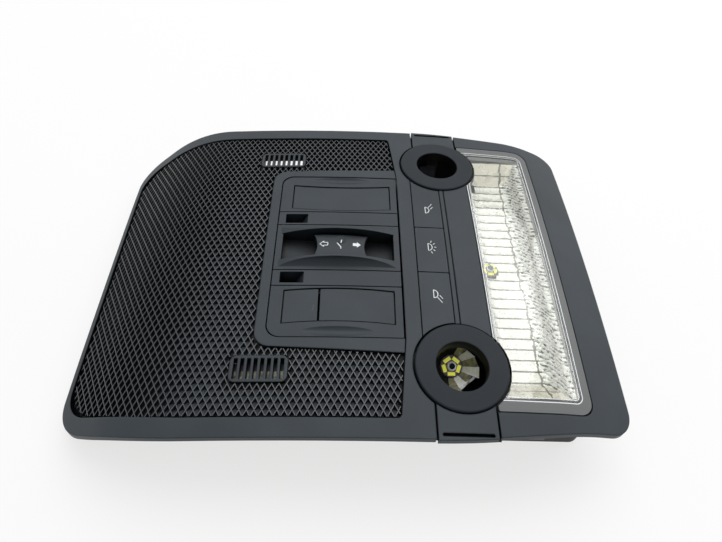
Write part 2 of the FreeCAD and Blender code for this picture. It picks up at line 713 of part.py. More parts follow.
def make_centre_bar():
    """Bar across the console: end tabs, ring shelves, strip beside the buttons."""
    outer = prism(grown(outer_face(), BAR_END))
    strip = plate(rect(BAR_STRIP_X0, BAR_STRIP_X1, -RING_Y, RING_Y), 0.0, BAR_DEPTH)
    parts = [strip]
    for side in (-1, 1):
        y0, y1 = sorted((side * RING_Y, side * 100.0))
        tab = plate(rect(BAR_FRONT_X, BAR_REAR_X, y0, y1, 1.2), 0.0, BAR_DEPTH).common(outer)
        parts.append(tab)
        parts.append(plate(disc(RING_X, side * RING_Y, RING_RADIUS + 1.4), SHELF_TOP, BAR_DEPTH))
    whole = fuse_all(parts)
    seat = layer(-10.0, SHELF_TOP).common(ring_cut(RING_RADIUS + 0.45))
    whole = whole.cut(seat).cut(ring_cut(RING_HOLE + 2.0))
    keys = prism(rect(20.0, BUTTON_X1 + JOINT_GAP, -RING_Y + 6.0, RING_Y - 6.0))
    whole = whole.cut(keys)
    groove = layer(-5.0, 0.8).common(prism(rect(BAR_GROOVE_X - 0.25, BAR_GROOVE_X + 0.25, -42.0, 42.0)))
    whole = whole.cut(groove)
    for side in (-1, 1):
        end = SIDE_Y + BAR_END - NOTCH_INSET
        y0, y1 = sorted((side * (end - NOTCH_WIDTH), side * end))
        face = rect(BAR_FRONT_X + NOTCH_SIDE, BAR_REAR_X - NOTCH_SIDE, y0, y1, 0.5)
        notch = layer(-5.0, NOTCH_DEPTH).common(prism(face))
        whole = whole.cut(notch)
        low, high = sorted((side * (SIDE_Y - BAR_LIP_REACH), side * 100.0))
        whole = whole.cut(layer(BAR_LIP_DEPTH, DEEP).common(prism(rect(20.0, 80.0, low, high))))
    return whole


def button_face(y0, y1):
    """Outline of a push button between two seams, cut back round the lamp rings."""
    face = rect(BUTTON_X0, BUTTON_X1, y0, y1, 0.4)
    for side in (-1, 1):
        face = face.cut(disc(RING_X, side * RING_Y, RING_RADIUS + TRIM_GAP)).Faces[0]
    return face


def make_button(y0, y1, stem_y):
    """Push button: crowned cap with side walls and a stem over its switch."""
    face = button_face(y0, y1)
    cap = plate(face, 0.0, 2.0)
    walls = plate(face, 0.0, BAR_DEPTH).cut(prism(grown(face, -1.2)))
    low = BOARD_TOP_Z + 4.3 + BUTTON_TRAVEL + 0.3
    half = BUTTON_STEM / 2.0
    stem = body(rect(SWITCH_X - half, SWITCH_X + half, stem_y - half, stem_y + half), 1.0, low)
    return fuse_all([cap, walls, stem])


def make_tact_switch(y):
    """Square push switch on the main board under a button."""
    case = box(SWITCH_X - 3.0, SWITCH_X + 3.0, y - 3.0, y + 3.0, BOARD_TOP_Z, BOARD_TOP_Z + 3.5)
    pip = Part.makeCylinder(1.7, 1.0, Vector(SWITCH_X, y, BOARD_TOP_Z + 3.3))
    return fuse_all([case, pip])


def make_lamp_ring(side):
    """Round lamp bezel with rolled edges and a short inner tube."""
    low = -SHELF_TOP + SEAT_GAP
    r0 = RING_HOLE
    r1 = RING_RADIUS
    rise = RING_RISE
    crest = rise + RING_DISH
    out = RING_OUTER_ROLL
    roll = RING_INNER_ROLL
    tube = r0 + RING_TUBE_WALL
    deep = low - RING_TUBE_DEPTH
    k = out * (1.0 - math.sqrt(0.5))
    m = roll * (1.0 - math.sqrt(0.5))
    path = [Vector(r0, 0, crest - roll), Vector(r0, 0, deep), Vector(tube, 0, deep), Vector(tube, 0, low)]
    path.extend([Vector(r1, 0, low), Vector(r1, 0, rise - out)])
    edges = [Part.LineSegment(p, q).toShape() for p, q in zip(path[:-1], path[1:])]
    shoulder = Vector(r1 - out, 0, rise)
    lip = Vector(r0 + roll, 0, crest)
    edges.append(Part.Arc(path[-1], Vector(r1 - k, 0, rise - k), shoulder).toShape())
    edges.append(Part.LineSegment(shoulder, lip).toShape())
    edges.append(Part.Arc(lip, Vector(r0 + m, 0, crest - m), path[0]).toShape())
    ring = Part.Face(Part.Wire(edges)).revolve(Vector(0, 0, 0), Vector(0, 0, 1), 360)
    return on_crown(ring, RING_X, side * RING_Y)


def lamp_place(side):
    """Placement of a reading lamp: light source point and outward tilted axis."""
    turn = FreeCAD.Rotation(Vector(1, 0, 0), -side * LAMP_TILT)
    return FreeCAD.Placement(Vector(LAMP_LED_X, side * LAMP_LED_Y, APEX_HEIGHT - LAMP_LED_DEPTH), turn)


def make_lamp_reflector(side):
    """Tilted bowl round the light source, cut level under the ring shelf."""
    neck = LAMP_PAD_RADIUS + JOINT_GAP
    points = [(neck, 0.4), (neck + 2.2, 2.4), (9.2, 6.0), (11.0, 12.0), (11.6, 18.0)]
    inner = [Vector(r, 0, z) for r, z in points]
    outer = [Vector(r + 1.1, 0, z) for r, z in reversed(points)]
    face = Part.Face(Part.makePolygon(inner + outer + [inner[0]]))
    bowl = face.revolve(Vector(0, 0, 0), Vector(0, 0, 1), 360)
    bowl.Placement = lamp_place(side)
    keep = layer(LAMP_BOWL_TOP, DEEP)
    return bowl.common(keep)


def make_lamp_led(side):
    """Small round board with the light source of a reading lamp."""
    board = Part.makeCylinder(6.4, 1.0, Vector(0, 0, -1.0))
    pad = Part.makeCylinder(LAMP_PAD_RADIUS, 1.2, Vector(0, 0, -0.2))
    dome = Part.makeSphere(1.7, Vector(0, 0, 0.8))
    led = fuse_all([board, pad, dome])
    led.Placement = lamp_place(side)
    return led


def make_lamp_holder(side):
    """Wedge on the main board that carries a tilted light source."""
    block = box(LAMP_LED_X - 7.0, LAMP_LED_X + 7.0, -7.0, 7.0, BOARD_TOP_Z, BOARD_TOP_Z + 12.0)
    block.translate(Vector(0, side * (LAMP_LED_Y - 0.6), 0))
    upper = box(-40.0, 40.0, -40.0, 40.0, -1.0 - SEAT_GAP, 60.0)
    upper.Placement = lamp_place(side)
    return block.cut(upper)


def make_dome_lens():
    """Lens plate of the dome light with an inner standing wall."""
    face = lens_face(JOINT_GAP)
    whole = plate(face, 0.0, LENS_WALL)
    x0 = LENS_X0 + 1.6
    x1 = LENS_X1 - LENS_BORDER_X
    half = LENS_HALF_Y - LENS_BORDER_Y
    w = LENS_FRAME_WALL
    frame = plate(rect(x0, x1, -half, half, 3.0), 1.0, LENS_FRAME_DEPTH)
    inner = rect(x0 + w, x1 - w, -half + w, half - w, 3.0 - w)
    frame = frame.cut(prism(inner)).cut(ring_cut(RING_RADIUS + 2.4))
    frame = max(frame.Solids, key=lambda s: s.Volume)
    whole = fuse_all([whole, frame])
    whole = whole.cut(ring_cut(RING_RADIUS + TRIM_GAP + 0.1))
    return whole.cut(prism(rect(20.0, LENS_X0, -RING_Y, RING_Y)))


def make_lens_surround():
    """Rear trim round the dome lens with skirt and lens ledge."""
    outer = outer_face()
    opening = lens_face(0.0)
    side = prism(rect(RING_X, 150.0, -120.0, 120.0))
    rim = plate(outer, 0.0, WALL)
    skirt = plate(outer, 0.0, SKIRT_DEPTH).cut(prism(grown(outer, -SKIRT_WALL)))
    deep = LENS_WALL + SEAT_GAP
    hold = plate(grown(opening, LEDGE_WALL), 0.0, deep + 1.6)
    lip = plate(grown(opening, -LEDGE_REACH), -5.0, 20.0)
    whole = fuse_all([rim, skirt, hold]).cut(lip)
    whole = whole.cut(layer(-10.0, deep).common(prism(opening)))
    clear = prism(rect(0.0, 62.0, -RING_Y, RING_Y))
    whole = whole.common(side).cut(bar_keepout()).cut(clear)
    return whole.cut(ring_cut(RING_RADIUS + 2.4))


def reflector_line(lift):
    """Points of the reflector floor line from the bar side up the rear wall."""
    z = REFLECTOR_FLOOR_Z + lift
    rear = LENS_X1 - LENS_BORDER_X - LENS_FRAME_WALL - REFLECTOR_GAP - lift
    bend = 9.0 - lift
    front = LENS_X0 + 3.4 + lift
    points = [Vector(front, 0, APEX_HEIGHT - REFLECTOR_FRONT_DROP), Vector(front + 1.5, 0, z + 3.0), Vector(front + 4.0, 0, z)]
    for i in range(5):
        a = math.radians(90.0 * i / 4.0 * 0.92)
        points.append(Vector(rear - bend + bend * math.sin(a), 0, z + bend - bend * math.cos(a)))
    brim = max(APEX_HEIGHT - REFLECTOR_REAR_DROP, points[-1].z + 0.4)
    points.append(Vector(rear + 0.6, 0, brim))
    return points


def make_dome_reflector():
    """Fluted reflector trough under the dome lens."""
    half = LENS_HALF_Y - LENS_BORDER_Y - LENS_FRAME_WALL - JOINT_GAP
    skin = reflector_line(1.2)
    back = reflector_line(0.0)
    sheet = Part.Face(Part.makePolygon(skin + list(reversed(back)) + [skin[0]]))
    sheet.translate(Vector(0, -half, 0))
    trough = sheet.extrude(Vector(0, 2.0 * half, 0))
    crest = reflector_line(2.0)
    fin = Part.Face(Part.makePolygon(crest[1:-1] + list(reversed(back[1:-1])) + [crest[1]]))
    parts = [trough]
    for i in range(FLUTE_COUNT):
        y = (i - (FLUTE_COUNT - 1) / 2.0) * FLUTE_PITCH
        piece = fin.copy()
        piece.translate(Vector(0, y - 0.35, 0))
        parts.append(piece.extrude(Vector(0, 0.7, 0)))
    end = Part.Face(Part.makePolygon(skin + [skin[0]]))
    for y in (-half, half - 1.2):
        wall = end.copy()
        wall.translate(Vector(0, y, 0))
        parts.append(wall.extrude(Vector(0, 1.2, 0)))
    whole = fuse_all(parts)
    hole = Part.makeCylinder(4.2, 20.0, Vector(DOME_LED_X, 0, REFLECTOR_FLOOR_Z - 10.0))
    whole = whole.cut(hole).cut(ring_cut(RING_RADIUS + 3.2))
    return max(whole.Solids, key=lambda s: s.Volume)


def make_dome_led():
    """Dome light source on its post on the main board."""
    z1 = REFLECTOR_FLOOR_Z + 2.6
    post = Part.makeCylinder(3.8, z1 - BOARD_TOP_Z, Vector(DOME_LED_X, 0, BOARD_TOP_Z))
    dome = Part.makeSphere(1.8, Vector(DOME_LED_X, 0, z1))
    return fuse_all([post, dome])


def make_main_board():
    """Circuit board behind the buttons and lamps."""
    x0 = TRAY_X0 + HOUSING_WALL + 1.0
    x1 = TRAY_X1 - HOUSING_WALL - 1.0
    half = TRAY_HALF_Y - HOUSING_WALL - 1.0
    board = prism(rect(x0, x1, -half, half, 2.0), BOARD_TOP_Z - BOARD_THICK, BOARD_TOP_Z)
    relay = box(30.0, 42.0, 44.0, 58.0, BOARD_TOP_Z - BOARD_THICK - 9.0, BOARD_TOP_Z - BOARD_THICK + 0.1)
    choke = box(30.0, 40.0, -54.0, -44.0, BOARD_TOP_Z - BOARD_THICK - 7.0, BOARD_TOP_Z - BOARD_THICK + 0.1)
    return fuse_all([board, relay, choke])


def make_connector():
    """Plug socket under the main board, open toward the roof side, with a row of pins."""
    top = BOARD_TOP_Z - BOARD_THICK - SEAT_GAP
    hx = SOCKET_LENGTH / 2.0
    hy = SOCKET_WIDTH / 2.0
    w = SOCKET_WALL
    shell = box(SOCKET_X - hx, SOCKET_X + hx, -hy, hy, SOCKET_LOW, top)
    shell = shell.cut(box(SOCKET_X - hx + w, SOCKET_X + hx - w, -hy + w, hy - w, 0.0, top - 3.0))
    parts = [shell]
    for i in range(SOCKET_PINS):
        x = SOCKET_X + (i - (SOCKET_PINS - 1) / 2.0) * SOCKET_PITCH
        parts.append(box(x - 0.4, x + 0.4, -0.4, 0.4, SOCKET_PIN_LOW, top - 2.5))
    return fuse_all(parts)


def tray(face, inner, pillars, pillar_top):
    """Open tray under the face with a floor, walls and board pillars."""
    shell = layer(HOUSING_TOP, DEEP).common(prism(face, 0.0))
    shell = shell.cut(prism(inner, HOUSING_WALL, 70.0))
    parts = [shell]
    for x, y in pillars:
        parts.append(Part.makeCylinder(PILLAR_RADIUS, pillar_top - 1.0, Vector(x, y, 1.0)))
    return parts


def make_rear_housing():
    """Lamp tray behind the buttons, lamps and dome light, with a way out for the plug socket."""
    w = HOUSING_WALL
    face = rect(TRAY_X0, TRAY_X1, -TRAY_HALF_Y, TRAY_HALF_Y, 5.0)
    inner = rect(TRAY_X0 + w, TRAY_X1 - w, -TRAY_HALF_Y + w, TRAY_HALF_Y - w, 3.0)
    x0 = TRAY_X0 + w + 5.0
    x1 = TRAY_X1 - w - 4.0
    y1 = TRAY_HALF_Y - w - 7.5
    places = [(x0, 36.0), (x0, -36.0), (x1, y1), (x1, -y1), (58.0, y1), (58.0, -y1)]
    whole = fuse_all(tray(face, inner, places, BOARD_TOP_Z - BOARD_THICK - SEAT_GAP))
    g = SOCKET_GAP
    x0 = SOCKET_X - SOCKET_LENGTH / 2.0 - g
    x1 = SOCKET_X + SOCKET_LENGTH / 2.0 + g
    y1 = SOCKET_WIDTH / 2.0 + g
    return whole.cut(box(x0, x1, -y1, y1, -1.0, HOUSING_WALL + 1.0))


def make_switch_housing():
    """Switch tray in front of the lamp tray, with two fastening ears."""
    w = HOUSING_WALL
    rear = TRAY_X0 - 0.3
    face = rect(NECK_X0, rear, -NECK_HALF_Y, NECK_HALF_Y, 4.0)
    inner = rect(NECK_X0 + w, rear - w, -NECK_HALF_Y + w, NECK_HALF_Y - w, 2.0)
    x0 = PANEL_FRONT_X + 5.2
    x1 = PANEL_REAR_X - 5.4
    y1 = PANEL_HALF_Y - 5.2
    places = [(x0, y1), (x0, -y1), (x1, y1), (x1, -y1), (x0, 0.0), (x1, 0.0)]
    board_low = MODULE_BOTTOM_Z - SEAT_GAP - BOARD_THICK
    parts = tray(face, inner, places, board_low - SEAT_GAP)
    for side in (-1, 1):
        y0 = side * EAR_Y - EAR_WIDTH / 2.0
        y1 = side * EAR_Y + EAR_WIDTH / 2.0
        parts.append(prism(rect(EAR_X - EAR_WIDTH / 2.0, NECK_X0 + 1.0, y0, y1, 0.6), EAR_Z - EAR_THICK, EAR_Z))
        for y in (y0, y1 - EAR_RIB):
            parts.append(box(EAR_X - 2.0, NECK_X0 + 1.0, y, y + EAR_RIB, EAR_Z - 9.0, EAR_Z - EAR_THICK + 0.5))
    whole = fuse_all(parts)
    for side in (-1, 1):
        hole = Part.makeCylinder(EAR_HOLE / 2.0, 20.0, Vector(EAR_X, side * EAR_Y, EAR_Z - 12.0))
        whole = whole.cut(hole)
    y1 = NECK_HALF_Y - w
    return whole.cut(box(rear - w - 0.5, rear + 1.0, -y1, y1, board_low - 2.0, 70.0))


def make_microphone():
    """Microphone block behind the slotted vent on the -Y side."""
    face = vent_face(VENT_X, -VENT_Y, -0.6)
    block = plate(face, MESH_BOTTOM + 1.0 + SEAT_GAP, MESH_BOTTOM + 7.0)
    return block


def make_roof_clip():
    """Folded spring clip on the +Y side wall of the rear housing."""
    t = 0.7
    y = TRAY_HALF_Y + SEAT_GAP
    points = [(y, 4.0), (y, 24.0), (y + 4.6, 15.0), (y + 1.6, 9.0)]
    back = [(y + 1.6 - t, 9.4), (y + 4.6 - t * 1.1, 15.0), (y + t, 22.2), (y + t, 4.0)]
    corners = [Vector(74.0, a, b) for a, b in points + back]
    face = Part.Face(Part.makePolygon(corners + [corners[0]]))
    return face.extrude(Vector(12.0, 0, 0))


def build():
    """All pieces by node name."""
    nodes = {}
    nodes["trim_frame"] = make_trim_frame()
    nodes["mesh_grille"] = make_mesh_grille()
    nodes["centre_bar"] = make_centre_bar()
    nodes["lens_surround"] = make_lens_surround()
    nodes["dome_lens"] = make_dome_lens()
    nodes["dome_reflector"] = make_dome_reflector()
    nodes["dome_led"] = make_dome_led()
    nodes["main_board"] = make_main_board()
    nodes["connector_socket"] = make_connector()
    nodes["rear_housing"] = make_rear_housing()
    nodes["switch_housing"] = make_switch_housing()
    end = RING_Y
    seam = BUTTON_SEAM_Y + JOINT_GAP / 2.0
    nodes["reading_button_left"] = make_button(seam, end, OUTER_SWITCH_Y)
    nodes["dome_button"] = make_button(-BUTTON_SEAM_Y + JOINT_GAP / 2.0, BUTTON_SEAM_Y - JOINT_GAP / 2.0, 0.0)
    nodes["reading_button_right"] = make_button(-end, -seam, -OUTER_SWITCH_Y)
    nodes["tact_switch_left"] = make_tact_switch(OUTER_SWITCH_Y)
    nodes["tact_switch_dome"] = make_tact_switch(0.0)
    nodes["tact_switch_right"] = make_tact_switch(-OUTER_SWITCH_Y)
    for name, side in (("left", 1), ("right", -1)):
        nodes["lamp_ring_" + name] = make_lamp_ring(side)
        nodes["lamp_reflector_" + name] = make_lamp_reflector(side)
        nodes["lamp_led_" + name] = make_lamp_led(side)
        nodes["lamp_holder_" + name] = make_lamp_holder(side)
    cover = make_cover()
    nodes["left_cover"] = cover
    nodes["right_cover"] = mirror_y(cover)
    nodes["left_blank"] = make_insert(INSERT_X0, INSERT_X1, INSERT_GAP)
    nodes["right_indicator"] = mirror_y(make_insert(INSERT_X0, INSERT_SPLIT_X, INSERT_GAP))
    nodes["right_blank"] = mirror_y(make_insert(INSERT_SPLIT_X, INSERT_X1, INSERT_GAP))
    strip = make_window_strip()
    nodes["left_window_strip"] = strip
    nodes["right_window_strip"] = mirror_y(strip)
    pane = make_window_pane()
    nodes["left_window_pane"] = pane
    nodes["right_window_pane"] = mirror_y(pane)
    nodes["sunroof_housing"] = make_sunroof_housing()
    nodes["slide_base"] = make_slide_base()
    nodes["slider_carriage"] = make_carriage()
    nodes["slider_knob"] = make_knob()
    nodes["switch_board"] = make_switch_board()
    nodes["microphone"] = make_microphone()
    clip = make_roof_clip()
    nodes["roof_clip_left"] = clip
    nodes["roof_clip_right"] = mirror_y(clip)
    return nodes


def write_parts():
    """One file per piece."""
    os.makedirs("parts", exist_ok=True)
    for name, shape in build().items():
        solids = shape.Solids
        single = solids[0] if len(solids) == 1 else Part.makeCompound(solids)
        print(name, "solids", len(solids), "valid", single.isValid(), "volume", round(single.Volume, 1))
        single.exportStep("parts/" + name + ".step")


write_parts()
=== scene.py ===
import json
import logging
from dataclasses import dataclass, field
from enum import Enum
from functools import partial
from typing import Any, Callable, Dict, List, Sequence, Tuple

import bpy
import numpy as np
from mathutils import Matrix, Vector


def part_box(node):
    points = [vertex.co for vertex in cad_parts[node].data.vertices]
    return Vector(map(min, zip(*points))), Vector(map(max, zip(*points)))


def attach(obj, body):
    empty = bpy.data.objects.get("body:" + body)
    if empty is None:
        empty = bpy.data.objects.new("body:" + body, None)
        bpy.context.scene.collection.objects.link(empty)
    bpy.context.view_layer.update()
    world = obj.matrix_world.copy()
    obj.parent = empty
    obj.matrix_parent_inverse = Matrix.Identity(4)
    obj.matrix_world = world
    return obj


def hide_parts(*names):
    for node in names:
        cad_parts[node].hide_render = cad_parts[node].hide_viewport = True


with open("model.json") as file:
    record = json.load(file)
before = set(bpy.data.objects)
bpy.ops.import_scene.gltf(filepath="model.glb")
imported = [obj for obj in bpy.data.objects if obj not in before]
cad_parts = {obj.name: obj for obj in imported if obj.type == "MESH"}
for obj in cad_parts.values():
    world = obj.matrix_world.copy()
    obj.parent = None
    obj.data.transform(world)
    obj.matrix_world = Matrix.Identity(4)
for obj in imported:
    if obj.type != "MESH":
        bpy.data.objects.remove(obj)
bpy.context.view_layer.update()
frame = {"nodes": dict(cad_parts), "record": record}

LOG = logging.getLogger("roof_console")
MM = 0.001
Array = np.ndarray
Rgb = Tuple[float, float, float]
Run = Tuple[Tuple[float, float], ...]
Looks = Dict[str, bpy.types.Material]

# Middle and bore radius of the reading lamp rings, in millimetres; the two mirror each other.
RING_X, RING_Y, RING_BORE = 46.0, 57.5, 10.36
# Bearings between which the far bowl is painted lit; outside them it is painted shade.
FAR_PAINTED_LIT = (np.radians(-30.0), np.radians(75.0))
# Colour of the buttons and of the moulded switch pieces round them.
KEY_COLOUR = (0.0306, 0.0383, 0.0453)
# Values between which noise mostly lies, and shares of open sky that count as open and as closed for painted
# shade.
NOISE_LOW, NOISE_HIGH = 0.3, 0.7
OPEN_SKY, CLOSED_SKY = 0.92, 0.35
# Rays for finding closed-in places that get painted shade and for softened edges, and the step of a mask that
# is nought or one.
SKY_SAMPLES, EDGE_SAMPLES = 8, 4
MASK_STEP = (0.4, 0.6)
# Whole turns that keep a repeating pattern positive on both sides of the middle.
WHOLE_TURNS = 100
# Sockets of a range mapping, in order.
RANGE_SOCKETS = ("From Min", "From Max", "To Min", "To Max")
# Faces of a grille bar: one flank, crest, other flank, then the two ends.
BAR_QUADS = np.array([[0, 4, 5, 1], [1, 5, 6, 2], [2, 6, 7, 3], [0, 1, 2, 3], [7, 6, 5, 4]])
BAR_CREST = 1
# Faces of a block whose lower four corners come first: top, then the sides.
BLOCK_QUADS = np.array([[4, 5, 6, 7], [0, 1, 5, 4], [1, 2, 6, 5], [2, 3, 7, 6], [3, 0, 4, 7]])


class Side(Enum):
    """The two sides of the console; the value is the sign of Y."""

    LEFT = 1
    RIGHT = -1


@dataclass(frozen=True)
class FaceForm:
    """The crowned, double-bent face that all visible pieces share, in millimetres."""

    apex_height: float = 40.0
    apex_x: float = 30.0
    crown_radius: float = 950.0
    bend_radius: float = 64.0
    front_bend_x: float = -62.0
    front_angle: float = np.radians(36.0)
    rear_bend_x: float = 82.0
    rear_angle: float = np.radians(19.5)

    def profile(self, x: Array, depth: Array | float) -> Array:
        """Height of the face line at a depth: crown arc, a bend arc at each end, then straight slopes.

        Args:
            x: Lengthwise places.
            depth: Distance under the outer face.

        Returns:
            Heights over the flat back.
        """
        base = self.apex_height - self.crown_radius
        radius = self.crown_radius - depth
        z = base + np.sqrt(np.maximum(radius**2 - (x - self.apex_x) ** 2, 0.0))
        for start, end, sign in (
            (self.front_bend_x, self.front_angle, -1.0),
            (self.rear_bend_x, self.rear_angle, 1.0),
        ):
            lean = np.arcsin((start - self.apex_x) / self.crown_radius)
            reach = self.crown_radius - self.bend_radius
            cx = self.apex_x + np.sin(lean) * reach
            cz = base + np.cos(lean) * reach
            small = self.bend_radius - depth
            bend = cz + np.sqrt(np.maximum(small**2 - (x - cx) ** 2, 0.0))
            stop_x = cx + sign * small * np.sin(end)
            stop_z = cz + small * np.cos(end)
            slope = stop_z - np.tan(end) * (x - stop_x) * sign
            past_start = sign * (x - (cx + small * np.sin(lean))) > 0
            past_stop = sign * (x - stop_x) > 0
            z = np.where(past_start, bend, z)
            z = np.where(past_stop, slope, z)
        return z

    def height(self, x: Array, y: Array, depth: Array | float = 0.0) -> Array:
        """Height of the face over plan points: the face line turned about the crown's own axis.

        Args:
            x: Lengthwise places.
            y: Crosswise places.
            depth: Distance under the outer face.

        Returns:
            Heights over the flat back.
        """
        base = self.apex_height - self.crown_radius
        radius = self.profile(np.asarray(x, float), depth) - base
        return base + np.sqrt(radius**2 - np.asarray(y, float) ** 2)

    def points(self, x: Array, y: Array, depth: Array | float) -> Array:
        """Points on the face at a depth, as an (n, 3) array."""
        x, y, depth = np.broadcast_arrays(*(np.asarray(v, float) for v in (x, y, depth)))
        return np.stack([x, y, self.height(x, y, depth)], axis=-1).reshape(-1, 3)


FACE = FaceForm()


def toned(colour: Rgb, share: float) -> Rgb:
    """A colour made darker or lighter by one share."""
    return tuple(c * share for c in colour)


class Shader:
    """A node material under construction."""

    def __init__(self, name: str) -> None:
        """Make an empty material with a principled shader and object coordinates."""
        self.material = bpy.data.materials.new(name)
        self.material.use_nodes = True
        self.tree = self.material.node_tree
        self.shader = self.tree.nodes["Principled BSDF"]
        self.place = self.tree.nodes.new("ShaderNodeTexCoord").outputs["Object"]

    def link(self, source: Any, target: Any) -> None:
        """Join an output to an input."""
        self.tree.links.new(source, target)

    def set(self, **values: Any) -> None:
        """Set shader sockets that are the same all over the surface."""
        for name, value in values.items():
            self.shader.inputs[name.replace("_", " ")].default_value = value

    def feed(self, **sources: Any) -> None:
        """Drive shader sockets from other nodes."""
        for name, source in sources.items():
            self.link(source, self.shader.inputs[name.replace("_", " ")])

    def noise(self, scale: float, detail: float, stretch: Sequence[float] = (1, 1, 1)) -> Any:
        """Noise over object coordinates.

        Args:
            scale: Cells per metre.
            detail: Octaves.
            stretch: Scale along each axis.

        Returns:
            The noise value socket.
        """
        mapping = self.tree.nodes.new("ShaderNodeMapping")
        mapping.inputs["Scale"].default_value = stretch
        self.link(self.place, mapping.inputs["Vector"])
        node = self.tree.nodes.new("ShaderNodeTexNoise")
        node.inputs["Scale"].default_value = scale
        node.inputs["Detail"].default_value = detail
        self.link(mapping.outputs["Vector"], node.inputs["Vector"])
        return node.outputs["Fac"]

    def ramp(self, fac: Any, low: Sequence[float], high: Sequence[float],
             start: float = NOISE_LOW, end: float = NOISE_HIGH) -> Any:
        """Colour that runs between two values as a factor rises.

        Args:
            fac: Driving socket.
            low: Colour at and below start.
            high: Colour at and above end.
            start: Factor where the run begins.
            end: Factor where it stops.

        Returns:
            The colour socket.
        """
        node = self.tree.nodes.new("ShaderNodeValToRGB")
        node.color_ramp.elements[0].position = start
        node.color_ramp.elements[1].position = end
        node.color_ramp.elements[0].color = (*low, 1.0)
        node.color_ramp.elements[1].color = (*high, 1.0)
        self.link(fac, node.inputs["Fac"])
        return node.outputs["Color"]

    def blend(self, fac: Any, under: Any, over: Sequence[float]) -> Any:
        """A colour laid over another where a factor is high.

        Args:
            fac: Share of the upper colour.
            under: Colour socket below.
            over: Upper colour.

        Returns:
            The colour socket.
        """
        node = self.tree.nodes.new("ShaderNodeMix")
        node.data_type = "RGBA"
        self.link(fac, node.inputs["Factor"])
        self.link(under, node.inputs["A"])
        node.inputs["B"].default_value = (*over, 1.0)
        return node.outputs["Result"]

    def spread(self, fac: Any, low: float, high: float,
               start: float = NOISE_LOW, end: float = NOISE_HIGH) -> Any:
        """A factor mapped onto a range of values.

        Args:
            fac: Driving socket.
            low: Value at and below start.
            high: Value at and above end.
            start: Factor where the range begins.
            end: Factor where it stops.

        Returns:
            The value socket.
        """
        node = self.tree.nodes.new("ShaderNodeMapRange")
        for name, value in zip(RANGE_SOCKETS, (start, end, low, high)):
            node.inputs[name].default_value = value
        self.link(fac, node.inputs["Value"])
        return node.outputs["Result"]

    def math(self, operation: str, a: Any, b: Any = 0.0) -> Any:
        """One arithmetic step on sockets or numbers.

        Args:
            operation: Name of the step.
            a: First operand.
            b: Second operand, where the step has one.

        Returns:
            The value socket.
        """
        node = self.tree.nodes.new("ShaderNodeMath")
        node.operation = operation
        for socket, value in zip(node.inputs, (a, b)):
            if isinstance(value, (int, float)):
                socket.default_value = value
            else:
                self.link(value, socket)
        return node.outputs["Value"]

    def length(self, a: Any, b: Any) -> Any:
        """Length of a plan vector from its two parts."""
        squares = [self.math("MULTIPLY", part, part) for part in (a, b)]
        return self.math("SQRT", self.math("ADD", *squares))

    def axes(self) -> Tuple[Any, Any, Any]:
        """Object coordinates as three sockets."""
        node = self.tree.nodes.new("ShaderNodeSeparateXYZ")
        self.link(self.place, node.inputs["Vector"])
        return node.outputs["X"], node.outputs["Y"], node.outputs["Z"]

    def crevice(self, reach: float) -> Any:
        """How closed in the surface is, as the factor for painted shade: none on open faces, full at the
        bottom of seams and hollows.

        Args:
            reach: Distance in metres within which other faces count.

        Returns:
            The factor socket.
        """
        node = self.tree.nodes.new("ShaderNodeAmbientOcclusion")
        node.samples = SKY_SAMPLES
        node.inputs["Distance"].default_value = reach
        return self.spread(node.outputs["AO"], 0.0, 1.0, OPEN_SKY, CLOSED_SKY)

    def relief(self, fac: Any, depth: float, edge: float = 0.0) -> None:
        """Surface relief over softened edges.

        Args:
            fac: Height socket.
            depth: Relief depth in metres.
            edge: Edge softening radius in metres, none if zero.
        """
        bump = self.tree.nodes.new("ShaderNodeBump")
        bump.inputs["Strength"].default_value = 1.0
        bump.inputs["Distance"].default_value = depth
        self.link(fac, bump.inputs["Height"])
        if edge > 0:
            soft = self.tree.nodes.new("ShaderNodeBevel")
            soft.samples = EDGE_SAMPLES
            soft.inputs["Radius"].default_value = edge
            self.link(soft.outputs["Normal"], bump.inputs["Normal"])
        self.feed(Normal=bump.outputs["Normal"])


@dataclass(frozen=True)
class SatinPlastic:
    """Moulded plastic: fine grain, colour drift, softened edges and, if given, painted shade in hollows and in
    bores.
    """

    name: str
    colour: Rgb
    roughness: float = 0.45
    grain: float = 5200.0
    relief: float = 0.000012
    edge: float = 0.0004
    sheen: float = 0.28
    # Middle and radius of the ring bores; inside them the colour is painted shade.
    bores: Tuple[float, float, float] | None = None
    painted_bore_shade: Rgb = (0.003, 0.003, 0.0035)
    # Reach in metres of the painted shade laid into seams and hollows, none if zero; the tone below is the
    # share of colour left there.
    hollow: float = 0.0
    painted_shade_tone: float = 0.08
    drift: float = 45.0
    drift_tones: Tuple[float, float] = (0.88, 1.12)
    rough_change: Tuple[float, float] = (-0.05, 0.07)

    def material(self) -> bpy.types.Material:
        """Build the finish: coarse noise shifts the colour, fine noise the roughness and the relief.

        Returns:
            The material.
        """
        s = Shader(self.name)
        s.set(Specular_IOR_Level=self.sheen)
        tone = s.ramp(s.noise(self.drift, 4.0), *(toned(self.colour, share) for share in self.drift_tones))
        # Painted shade: the bore walls inside this radius go near-black.
        if self.bores is not None:
            cx, cy, radius = self.bores
            x, y, _ = s.axes()
            away = s.length(s.math("SUBTRACT", x, cx), s.math("SUBTRACT", s.math("ABSOLUTE", y), cy))
            tone = s.blend(s.math("LESS_THAN", away, radius), tone, self.painted_bore_shade)
        # Painted shade: the colour darkens toward near-black where the surface is closed in, in seams,
        # recesses and hollows.
        if self.hollow > 0:
            tone = s.blend(s.crevice(self.hollow), tone, toned(self.colour, self.painted_shade_tone))
        fine = s.noise(self.grain, 2.0)
        rough = s.spread(fine, *(self.roughness + change for change in self.rough_change))
        s.feed(Base_Color=tone, Roughness=rough)
        s.relief(fine, self.relief, self.edge)
        return s.material


